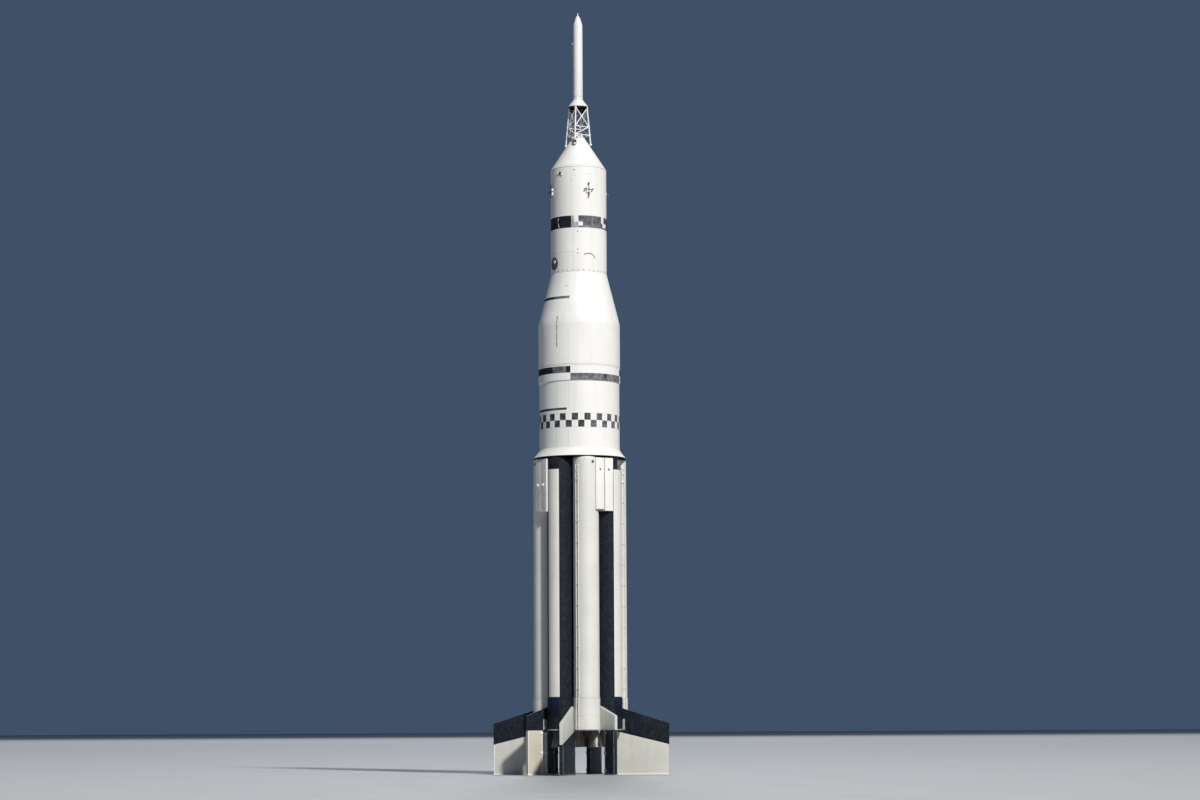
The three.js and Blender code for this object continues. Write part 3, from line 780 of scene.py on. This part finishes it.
def add_support(piece, bearing, radii, tops, edge):
    """Upright plate under a fin, on its foot, with edge strips and brackets along its inner edge."""
    root_r, tip_r = radii
    foot_high, face = 0.08, PLATE_THICK / 2
    low = GROUND_Z + foot_high
    outline = [(root_r, GROUND_Z), (tip_r, GROUND_Z), (tip_r, tops[1]), (root_r, tops[0])]
    piece.prism(outline, PLATE_THICK, upright(bearing), 0.012)
    foot = (tip_r - root_r + 0.06, PLATE_THICK + 0.08, foot_high)
    piece.block(foot, (root_r + tip_r) / 2, bearing, GROUND_Z + foot_high / 2, 0.01, edge)
    for way in (-1, 1):
        for r, top in ((root_r + 0.03, tops[0] - 0.06), (tip_r - 0.03, tops[1] - 0.06)):
            piece.block((0.06, 0.03, top - low), r, bearing, (low + top) / 2, 0.006, edge, way * face)
        for z in (GROUND_Z + 0.3, (GROUND_Z + tops[0]) / 2, tops[0] - 0.18):
            piece.block((0.2, 0.05, 0.16), root_r + 0.08, bearing, z, 0.01, edge, way * (face + 0.02))


# Second stage and payload


def make_flare():
    piece = Piece("flare_ring", "white", FLARE_R)
    lip_top = FLARE_Z + 0.04
    outer = [(FLARE_R - 0.01, FLARE_Z), (FLARE_R, FLARE_Z + 0.01), (FLARE_R, lip_top),
             (FLARE_R - 0.006, lip_top + 0.006), (3.17, 21.345), (3.1, 21.42), (3.02, 21.51), (2.95, 21.61),
             (2.89, 21.69), (2.84, 21.78), (2.81, 21.84), (STAGE2_R + 0.004, STAGE2_Z)]
    inner = [(r - FLARE_WALL, z) for r, z in reversed(outer)]

    def paint(step, edge):
        """Painted shade: the dark rim stands for the shadow line under the flare's edge, and the black inside
        for its shaded hollow. The outside is white.
        """
        if edge < 2:
            return "seam"
        return "white" if edge < len(outer) - 1 else "black"

    piece.hoop(outer + inner, ROUND_STEPS, paint=paint)
    piece.studs(16, 11.25, FLARE_Z + 0.02, 0.015, 0.012, 8, "faint")
    piece.finish("stage_flare", sharp=40)


CHECK_STEP = 9
CHECK_FIRST = 1.5
# First and last bearing of the paler checks, on both sides.
CHECK_PALE = (27, 90)
CHECK_ROWS = (23.24, 23.73, 24.22)
# Painted line: lower and upper edge, first and last bearing.
STAGE2_LINE = (24.44, 24.6, 270, 354)
# Bearings of the thin upright seams.
STAGE2_UPRIGHTS = (-3, -22, 87, 158, 177, 267)


def on_line(line, bearing, z):
    """Whether a face lies on a painted line."""
    low, high, first, last = line
    return low < z < high and in_span(bearing, first, last)


def stage_paint(bearing, z):
    """Checks, paler on the side that takes the weather, and the thin line above them."""
    around = (bearing - CHECK_FIRST) % 360
    if CHECK_ROWS[0] < z < CHECK_ROWS[2]:
        if (around // CHECK_STEP % 2 == 1) != (z < CHECK_ROWS[1]):
            return "white"
        return "dull" if CHECK_PALE[0] < around % 180 < CHECK_PALE[1] else "patchy"
    return "patchy" if on_line(STAGE2_LINE, bearing, z) else "white"


def make_second_stage():
    piece = Piece("second_stage_skin", "white", STAGE2_R)
    piece.shell((STAGE2_Z + GAP, *CHECK_ROWS, *STAGE2_LINE[:2], SKIRT_Z), paint=stage_paint)
    for bearing in STAGE2_UPRIGHTS:
        for low, high in ((STAGE2_Z, CHECK_ROWS[0]), (STAGE2_LINE[1], SKIRT_Z)):
            piece.patch(bearing, 0.03, low + 0.05, high - 0.05)
    for z in (CHECK_ROWS[0], CHECK_ROWS[2]):
        piece.line(z, 0.02)
    for k in range(360 // CHECK_STEP):
        low, high = CHECK_ROWS[k % 2] + 0.03, CHECK_ROWS[k % 2 + 1] - 0.03
        piece.patch(CHECK_FIRST + CHECK_STEP * (k + 0.5), 0.02, low, high, proud=0.003)
    piece.studs(72, 2.5, STAGE2_Z + 0.12, 0.018, 0.01)
    piece.finish("second_stage", sharp=18)


# Lower and upper edge of the band where it is raised, and where it isn't.
SKIRT_BANDS = {"high": (27.01, 27.47), "low": (SKIRT_Z + 2 * GAP, 26.98)}
SKIRT_SEAMS = (27.55, 27.64)
# First and last bearing of the raised band's pale part, on both sides.
SKIRT_PALE = (151, 174)
# Small plates on both sides. Columns: bearing, width, lower and upper edge, paint, how proud.
SKIRT_PLATES = ((67, 0.05, 30.82, 30.98, "faint", 0.012), (51.5, 0.11, 26.69, 26.91, "black", 0.004))
CABLE_BEARING = -20


def skirt_paint(bearing, z):
    """Bands that step up and down every quarter turn."""
    raised = bearing % 180 >= 90
    low, high = SKIRT_BANDS["high" if raised else "low"]
    if low < z < high:
        if not raised:
            return "faded"
        return "dull" if SKIRT_PALE[0] < bearing % 180 < SKIRT_PALE[1] else "black"
    return "faint" if on_seam(z, SKIRT_SEAMS) else "white"


def make_skirt():
    piece = Piece("second_stage_skirt_skin", "white", cone_radius)
    levels = [z for band in SKIRT_BANDS.values() for z in band]
    piece.shell((*levels, CONE_Z), SKIRT_SEAMS, skirt_paint, foot=[(SKIRT_R - 0.012, SKIRT_Z + GAP)])
    for turn in HALVES:
        add_cable(piece, turn + CABLE_BEARING)
        for bearing, *plate in SKIRT_PLATES:
            piece.patch(turn + bearing, *plate)
    for turn in QUARTERS:
        piece.patch(turn - 3, 0.026, SKIRT_SEAMS[1] + 0.06, CONE_Z, proud=0.003)
    piece.finish("second_stage_skirt", sharp=18)


def add_cable(piece, bearing):
    """Slim cable up the skirt, held by clips, with a dark end on the cone. Its grey paint is partly painted
    shadow, for the dark line along it.
    """
    stand_off, low, tip = 0.014, 28.85, 30.94
    line = [at(cone_radius(z) + stand_off, bearing, z) for z in (low, CONE_Z, 30.65, 30.85, tip)]
    piece.tube(line, 0.018, 8, "faded")
    for z in (29.2, 29.8, 30.4):
        piece.block((0.05, 0.1, 0.05), SKIRT_R + stand_off, bearing, z, 0.01)
    piece.stud(bearing, tip, 0.055, 0.035, 12, "seam")


# Painted line, and the bearing where it goes from black to faded.
CONE_LINE = (32.26, 32.45, 270, 357)
CONE_LINE_FADE = 327
# The skirt's side, the cone's soft shoulder and its straight side. Columns: height, radius.
CONE_SHAPE = ((SKIRT_Z, SKIRT_R), (CONE_Z, SKIRT_R), (30.65, 2.838), (30.85, 2.8), (31.1, 2.74), (31.3, 2.69),
              (31.5, 2.64), (PAYLOAD_Z, PAYLOAD_R))


def cone_radius(z):
    """Radius of the skirt and the cone at a height."""
    return line_at(CONE_SHAPE, z)


def cone_paint(bearing, z):
    if not on_line(CONE_LINE, bearing, z):
        return "white"
    return "black" if bearing < CONE_LINE_FADE else "faded"


def make_payload_cone():
    piece = Piece("payload_cone_skin", "white", cone_radius)
    shoulder = (30.65, 30.85, 30.98, 31.1, 31.3, 31.5)
    piece.shell((CONE_Z + GAP, *shoulder, *CONE_LINE[:2], PAYLOAD_Z), paint=cone_paint)
    for turn in HALVES:
        piece.stud(turn - 10, 33.2, 0.04, 0.02, 10, "seam")
    piece.studs(24, 0, PAYLOAD_Z - 0.1, 0.02, 0.01)
    piece.finish("payload_cone", sharp=18)


def surface_ring(radius, bearing, z, wide, first=0, last=360):
    """Points of a circle, or part of one, drawn on a round wall."""
    steps = 24
    points = []
    for i in range(steps + 1):
        t = math.radians(first + (last - first) * i / steps)
        points.append(at(radius, bearing + math.degrees(wide * math.cos(t) / radius), z + wide * math.sin(t)))
    return points


# Painted shadow: a dark arc on the wall, for the shadow inside a recessed round hatch. Bearing, height and
# radius, first and last angle.
SHADOW_ARC = (33, 34.95, 0.544, 23, 127)
# Bearing, height and radius.
ADAPTER_PORT = (-48.5, 34.88, 0.42)


def make_adapter():
    piece = Piece("payload_adapter_skin", "white", PAYLOAD_R)
    piece.shell((PAYLOAD_Z + GAP, SERVICE_Z))
    piece.line(PAYLOAD_Z + 0.03, 0.022)
    piece.studs(32, 0, PAYLOAD_Z + 0.11, 0.042, 0.014, 8, "seam")
    for turn in HALVES:
        add_adapter_details(piece, turn)
    piece.finish("payload_adapter", sharp=18)


def add_adapter_details(piece, turn):
    """Painted shadow arc of a recessed hatch, round port with its cover and its boss, seams and dots, on one
    half of the adapter. The port's dark rim and grey cover are painted shade.
    """
    arc_bearing, *arc = SHADOW_ARC
    # Dark tube on the wall: painted shadow cast by the upper rim of a recessed round hatch.
    piece.tube(surface_ring(PAYLOAD_R + 0.008, turn + arc_bearing, *arc), 0.024, 8, "seam")
    port, z, rim_r = ADAPTER_PORT
    port += turn
    # Dark rim and grey cover of the port: painted shade in its recess. The boss is white.
    rim = surface_ring(PAYLOAD_R + 0.008, port, z, rim_r)[:-1]
    piece.tube(rim, 0.04, 8, "seam", whole=True)
    piece.pin(port, z, -0.1, 0.012, rim_r - 0.03, 32, "faded")
    piece.bar(at(PAYLOAD_R, port + 2.5, z + 0.12), outward(port), -0.02, 0.05, 0.15, 24, tip=0.12)
    piece.patch(turn + 1.7, 0.028, PAYLOAD_Z + 0.05, SERVICE_Z - 0.05)
    piece.line(35.6, 0.022, turn - 78, turn + 6)
    for z in (35.49, 35.77, 37.04):
        piece.stud(turn + 10.5, z, 0.045, 0.02, 10, "seam")


# Levels of the band: its lower edge, the strip under its lower breaks, its middle and its upper edge.
BAND = (37.3, 37.42, 37.7, 38.15)
# First and last bearing of each white break in the band's two halves.
BREAKS = {"upper": ((2.5, 12), (66, 75)), "lower": ((12, 21), (70.5, 87))}
# The band is worn from this bearing to its first break, then dull for a while, then black.
BAND_WORN_FROM = 177
BAND_DULL_TO = 90
# Scuffs low on the band: bearing, width and height.
SCUFFS = ((26, 0.1, 0.05), (31.5, 0.2, 0.04), (36, 0.07, 0.07), (47, 0.16, 0.04), (55, 0.09, 0.05))
# Wavy white mark on the band: bearing and height of its points.
WAVE = ((-33.5, 38.04), (-34.8, 37.86), (-34.2, 37.64), (-32.6, 37.48), (-31.6, 37.36))


def service_paint(bearing, z):
    """The dark band and the breaks in it, alike on both halves of the module."""
    low, strip, middle, high = BAND
    if not low < z < high:
        return "white"
    bearing %= 180
    breaks = BREAKS["upper" if z > middle else "lower"]
    if z > strip and any(first < bearing < last for first, last in breaks):
        return "white"
    if bearing > BAND_WORN_FROM or bearing < breaks[0][0]:
        return "worn"
    return "dull" if bearing < BAND_DULL_TO else "black"


def make_service_module():
    piece = Piece("service_module_skin", "white", PAYLOAD_R)
    step = [(PAYLOAD_R - 0.03, z) for z in (CAPSULE_Z - 0.03, CAPSULE_Z)]
    piece.shell((SERVICE_Z + GAP, *BAND, CAPSULE_Z - 0.04), paint=service_paint, top=step)
    for turn in QUARTERS:
        add_quad(piece, QUAD_BEARING + turn)
    for turn in HALVES:
        add_service_details(piece, turn)
    piece.finish("service_module", sharp=18)


def add_service_details(piece, turn):
    """Marks on the band, seams above it, a port between two lumps and a plate with a slot, on one half."""
    piece.tube([at(PAYLOAD_R + 0.002, turn + bearing, z) for bearing, z in WAVE], 0.016, 6)
    piece.patch(turn + 41, 0.03, 37.31, 37.99, "worn")
    for bearing, wide, tall in SCUFFS:
        piece.patch(turn + bearing, wide, BAND[0] + 0.06, BAND[0] + 0.06 + tall, "worn")
    piece.patch(turn - 2.4, 0.028, BAND[-1] + 0.03, CAPSULE_Z - 0.06)
    piece.line(41.1, 0.022, turn + 21, turn + 42)
    piece.stud(turn - 2.4, 40.7, 0.03, 0.016, 8, "seam")
    # Dark disc of the recessed port: painted shade in its hollow.
    port = turn - 29
    piece.pin(port, 41.2, -0.03, 0.03, 0.12, 20, "seam")
    for bearing, z in ((port - 5.5, 41.22), (port + 5.5, 41.12)):
        piece.stud(bearing, z, 0.09, 0.06, 14)
    piece.patch(turn + 5, 0.26, 40.98, 41.46, "white", 0.014)
    # Dark strip for the plate's slot: painted shade in it.
    piece.patch(turn + 4, 0.1, 41.345, 41.415, "seam", 0.018)


def add_quad(piece, bearing):
    """Thruster quad: a white housing with four slim bells in a cross. The arms and bells are painted dark,
    partly as painted shade of the cross.
    """
    stand_off, throat_r, exit_r, bell = 0.12, 0.024, 0.06, 0.15
    piece.block((0.22, 0.32, 0.46), PAYLOAD_R, bearing, QUAD_Z, 0.05)
    centre = at(PAYLOAD_R + stand_off, bearing, QUAD_Z)
    side = outward(bearing + 90)
    for way, reach in ((side, 0.33), (-side, 0.33), (UP, 0.48), (-UP, 0.48)):
        piece.bar(centre, way, 0, reach - bell, throat_r, 12, "dark")
        piece.bar(centre, way, reach - bell, reach, throat_r, 16, "dark", exit_r)
        piece.bar(centre, way, reach - 0.02, reach, exit_r, 16, "steel", exit_r + 0.004)


CAPSULE_SEAMS = (41.76,)


def make_capsule():
    """Cone of the capsule, with the ring and stub at its top."""
    low, high = CAPSULE_Z + GAP, CAPSULE_TOP_Z
    cone = ((low, PAYLOAD_R), (high, CAPSULE_TOP_R))
    piece = Piece("capsule_skin", "white", lambda z: line_at(cone, z))
    top = [(0.33, high), (0.2, high + 0.03), (0.18, 44.26), (0.15, 44.3), (0.1, 44.32)]
    piece.shell((low, high - 0.03), CAPSULE_SEAMS, seamed("white", CAPSULE_SEAMS), top=top)
    piece.studs(24, 0, 41.84, 0.016, 0.01)
    for k in range(8):
        bearing = TOWER_BEARING + 22.5 + 45 * k
        piece.block((0.08, 0.1, 0.14), 0.27, bearing, high + 0.02, 0.015, "tower")
    piece.finish("capsule", sharp=18)


# Escape tower and motor

LEG_FOOT_R = 0.92
LEG_TOP_R = 0.64
# Levels of the tower's level braces.
BRACE_LEVELS = (44.15, 44.75, 46.1)
TOWER_RING = {"inner": 0.55, "outer": 0.68, "low": 46.085, "high": TOWER_TOP_Z - 0.006}


def leg_r(z):
    """Distance of the legs from the tower's axis at a height."""
    return line_at(((TOWER_FOOT_Z, LEG_FOOT_R), (TOWER_TOP_Z, LEG_TOP_R)), z)


def leg_point(corner, z):
    """Point on one of the four legs at a height."""
    return at(leg_r(z), TOWER_BEARING + 90 * corner, z)


def make_tower():
    """Lattice on four legs, with plates where its braces cross and a shoe under two of the legs."""
    piece = Piece("escape_tower_lattice", "tower")
    lower, middle, upper = BRACE_LEVELS
    brace_r, leg_wide, foot_z = 0.038, 0.055, TOWER_FOOT_Z + 0.12
    # Braces on one side of the tower: their heights at its two legs.
    braces = ((lower, lower), (middle, middle), (middle, upper), (upper, middle), (lower, middle))
    inner, outer, low, high = TOWER_RING.values()
    piece.hoop([(inner, low), (outer, low), (outer, high), (inner, high)], 48, paint="dark")
    crossing = middle + (upper - middle) * leg_r(middle) / (leg_r(middle) + leg_r(upper))
    for corner in range(4):
        foot, bearing = leg_point(corner, foot_z), TOWER_BEARING + 90 * corner
        piece.tube([foot, leg_point(corner, TOWER_TOP_Z - 0.02)], leg_wide, 16)
        piece.bar(foot, UP, 0, 0.1, 0.1, 16, tip=0.07)
        if corner % 2 == 0:
            piece.block((0.1, 0.22, 0.3), leg_r(foot_z), bearing, foot_z + 0.16, 0.02, "rusty")
        for z in BRACE_LEVELS:
            piece.bar(leg_point(corner, z), UP, -0.06, 0.06, leg_wide + 0.02, 16)
        for a, b in braces:
            piece.tube([leg_point(corner, a), leg_point(corner + 1, b)], brace_r, 12)
        piece.block((0.09, 0.17, 0.17), leg_r(crossing) * math.sqrt(0.5), bearing + 45, crossing, 0.02)
    piece.finish("escape_tower")


NOZZLE = {"tilt": math.radians(25), "length": 0.75, "throat_r": 0.09, "exit_r": 0.17}


def make_motor_skirt():
    """Flared skirt of the escape motor, with its four nozzles under it."""
    piece = Piece("escape_motor_skirt_shell", "tower")
    low, underside = TOWER_TOP_Z + GAP, 46.42
    inside = [(0, underside), (0.5, underside), (0.57, low)]
    outside = [(MOTOR_SKIRT_R, low), (MOTOR_SKIRT_R, low + 0.05), (0.66, 46.29), (0.55, 46.44), (0.44, 46.58)]
    neck = [(0.37, 46.69), (MOTOR_R, MOTOR_Z - 0.03), (MOTOR_R, MOTOR_Z), (0, MOTOR_Z)]
    # The inside faces under the skirt are dark as painted shade.
    inside_z = {underside, (underside + low) / 2}
    piece.lathe(inside + outside + neck, 96, paint=lambda bearing, z: "dark" if z in inside_z else "tower")
    tilt, length, throat_r, exit_r = NOZZLE.values()
    for turn in QUARTERS:
        bearing = TOWER_BEARING + 45 + turn
        top = at(0.16, bearing, 46.5)
        down = outward(bearing) * math.sin(tilt) - UP * math.cos(tilt)
        piece.bar(top, down, 0, 0.25, throat_r - 0.01, 20, "dark")
        piece.bar(top, down, 0.2, length, throat_r, 28, "dark", exit_r - 0.004)
        piece.bar(top, down, length - 0.05, length, exit_r - 0.004, 28, "dark", exit_r)
    piece.finish("escape_motor_skirt")


MOTOR_SEAMS = (46.95,)


def make_motor():
    """Motor case, with the box high on its side and the cable that runs up to it."""
    piece = Piece("escape_motor_case", "tower", MOTOR_R)
    piece.shell((MOTOR_Z + GAP, NOSE_Z), MOTOR_SEAMS, seamed("tower", MOTOR_SEAMS), 96)
    piece.block((0.16, 0.16, 0.42), MOTOR_R, SIDE_BOX_BEARING, SIDE_BOX_Z, 0.02, "seam")
    piece.block((0.17, 0.17, 0.04), MOTOR_R, SIDE_BOX_BEARING, SIDE_BOX_Z + 0.2, 0.01, "white")
    piece.bar(at(MOTOR_R + 0.01, SIDE_BOX_BEARING, 0), UP, MOTOR_Z + 0.1, SIDE_BOX_Z, 0.022, 10)
    piece.finish("escape_motor")


def make_nose():
    piece = Piece("nose_cone_shell", "tower")
    foot = [(0, NOSE_Z + GAP), (MOTOR_R, NOSE_Z + GAP), (MOTOR_R, 52.06)]
    side = [(0.315, 52.15), (0.27, 52.3), (0.215, 52.48), (0.16, 52.65), (0.1, 52.75), (0.055, 52.8)]
    point = [(0.03, 52.84), (0.025, 52.92), (0.04, 52.95), (0.03, 52.985), (0, TIP_Z)]
    piece.lathe(foot + side + point, 64)
    piece.finish("nose_cone", sharp=60)


# Engines

BELL_STEPS = 16
# Stiffening ribs down the bell. Columns: share of the way from its throat to its exit, depth in the wall.
RIB = ((0.12, 0.004), (0.5, 0.002), (0.97, 0.004))


def bell_point(share):
    """Radius and height of the bell's outside, from its throat to its exit."""
    radius = THROAT[0] + (EXIT[0] - THROAT[0]) * share**0.75
    return radius, THROAT[1] + (EXIT[1] - THROAT[1]) * share


def add_engine(piece):
    """Chamber, bell with its bands and ribs, and the ring pipe at its neck, about the piece's axis."""
    outer = [bell_point(i / BELL_STEPS) for i in range(BELL_STEPS + 1)]
    inner = [(r - BELL_WALL, z) for r, z in reversed(outer)]
    chamber_r, chamber_z = CHAMBER
    head = [(0, HEAD_Z), (chamber_r - 0.02, HEAD_Z), (chamber_r, HEAD_Z - 0.02), (chamber_r, chamber_z)]
    piece.lathe(head + outer + inner + [(0, THROAT[1] + BELL_WALL)], 64)
    for i in range(2, BELL_STEPS + 1, 2):
        r, z = bell_point(i / BELL_STEPS - 0.01)
        band = [(r - 0.01, z - 0.015), (r + 0.013, z - 0.015), (r + 0.013, z + 0.015), (r - 0.01, z + 0.015)]
        piece.hoop(band, 64, paint="steel")
    rib = [(bell_point(share), deep) for share, deep in RIB]
    for k in range(24):
        piece.tube([piece.spot(r - deep, 15 * k, z) for (r, z), deep in rib], 0.009, 6)
    ring = [piece.spot(chamber_r + 0.005, 15 * k, 2.98) for k in range(24)]
    piece.tube(ring, 0.022, 8, "steel", whole=True)


def make_engines():
    """Four fixed engines with their stems, and four that swing, each with two lugs by its gimbal."""
    for i, bearing in enumerate(QUARTERS):
        piece = Piece(f"inboard_engine_bell_{i + 1}", "engine", axis=at(INBOARD_R, bearing, 0))
        add_engine(piece)
        piece.bar(piece.axis, UP, CHAMBER[1], STEM_TOP_Z, 0.12, 24, "steel")
        piece.bar(piece.axis, UP, HEAD_Z, HEAD_Z + 0.06, 0.19, 24, "steel", 0.14)
        piece.finish(f"inboard_engine_{i + 1}")
    for i, bearing in enumerate(STUB_BEARINGS):
        piece = Piece(f"outboard_engine_bell_{i + 1}", "engine", axis=at(OUTBOARD_R, bearing, 0))
        add_engine(piece)
        for r in (-0.22, 0.22):
            piece.block((0.08, 0.18, 0.4), r, bearing, 3.25, 0.01, "steel")
        piece.finish(f"outboard_engine_{i + 1}", f"engine_{i + 1}")


def paint_kept_nodes():
    """Gives the carried-over nodes their material."""
    for name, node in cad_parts.items():
        if not node.hide_render:
            node.data.materials.clear()
            node.data.materials.append(PAINTS["support" if name == "heat_shield" else "steel"])


# Light, floor and camera

SKY = (0.05, 0.08, 0.135, 1.0)
# Metres of the model.
FLOOR_REACH = 400.0
LIGHT_DISTANCE = 120.0
LIGHT_TARGET_Z = 2.6
# Columns: name, bearing from the camera's, elevation, light that a white face turned to it gives back, size
# in metres of the model, colour.
LIGHTS = (
    ("key", 27, 39, 1.28, 9.0, (1.0, 0.978, 0.94)),
    ("back", 180, 30, 0.32, 18.0, (0.93, 0.96, 1.0)),
)


def make_floor():
    n = Nodes("floor_surface")
    colour = n.layer((0.405, 0.41, 0.415), (0.395, 0.4, 0.405), n.noise(0.8), 0.3, 0.7)
    n.surface(colour, n.spread(n.noise(3, 2), 0.3, 0.7, 0.75, 0.85))
    data = bpy.data.meshes.new("floor")
    corners = [(x * FLOOR_REACH, y * FLOOR_REACH, 0) for x, y in ((-1, -1), (1, -1), (1, 1), (-1, 1))]
    data.from_pydata(corners, [], [(0, 1, 2, 3)])
    data.materials.append(n.material)
    floor = linked("floor", data)


def make_world():
    world = bpy.data.worlds.new("studio")
    world.use_nodes = True
    background = world.node_tree.nodes["Background"]
    background.inputs[0].default_value = SKY
    background.inputs[1].default_value = 1.0
    bpy.context.scene.world = world


def make_lights():
    for name, turn, elevation, level, size, colour in LIGHTS:
        light = bpy.data.lights.new(name, "AREA")
        light.shape = "DISK"
        light.size = size
        light.energy = level * (math.pi * LIGHT_DISTANCE) ** 2
        light.color = colour
        lamp = linked(name, light)
        e = math.radians(elevation)
        way = outward(CAMERA_BEARING + turn) * math.cos(e) + UP * math.sin(e)
        lamp.location = UP * LIGHT_TARGET_Z + way * LIGHT_DISTANCE
        lamp.rotation_euler = way.to_track_quat("Z", "Y").to_euler()


def make_camera():
    camera = linked("camera", bpy.data.cameras.new("camera"))
    camera.data.sensor_width = 36.0
    camera.data.lens = camera.data.sensor_width * PHOTO_FOCAL / PHOTO_WIDTH
    camera.data.clip_end = 2000
    camera.location = at(CAMERA_DISTANCE, CAMERA_BEARING, CAMERA_HEIGHT - GROUND_Z) * SCALE
    yaw = math.atan((PHOTO_WIDTH / 2 - PHOTO_AXIS_X) / PHOTO_FOCAL)
    turn = Matrix.Rotation(math.radians(CAMERA_BEARING) - yaw, 4, "Z")
    pitch = Matrix.Rotation(math.radians(90 + CAMERA_PITCH), 4, "X")
    roll = Matrix.Rotation(math.radians(CAMERA_ROLL), 4, "Z")
    camera.rotation_euler = (turn @ pitch @ roll).to_euler()
    bpy.context.scene.camera = camera


make_camera()
make_world()
make_lights()
make_floor()
bpy.context.scene.view_settings.view_transform = "Standard"
bpy.context.scene.view_settings.look = "None"
make_tail()
make_tanks()
make_centre_tank()
make_spider()
make_fairings()
make_fins()
make_flare()
make_second_stage()
make_skirt()
make_payload_cone()
make_adapter()
make_service_module()
make_capsule()
make_tower()
make_motor_skirt()
make_motor()
make_nose()
make_engines()
paint_kept_nodes()
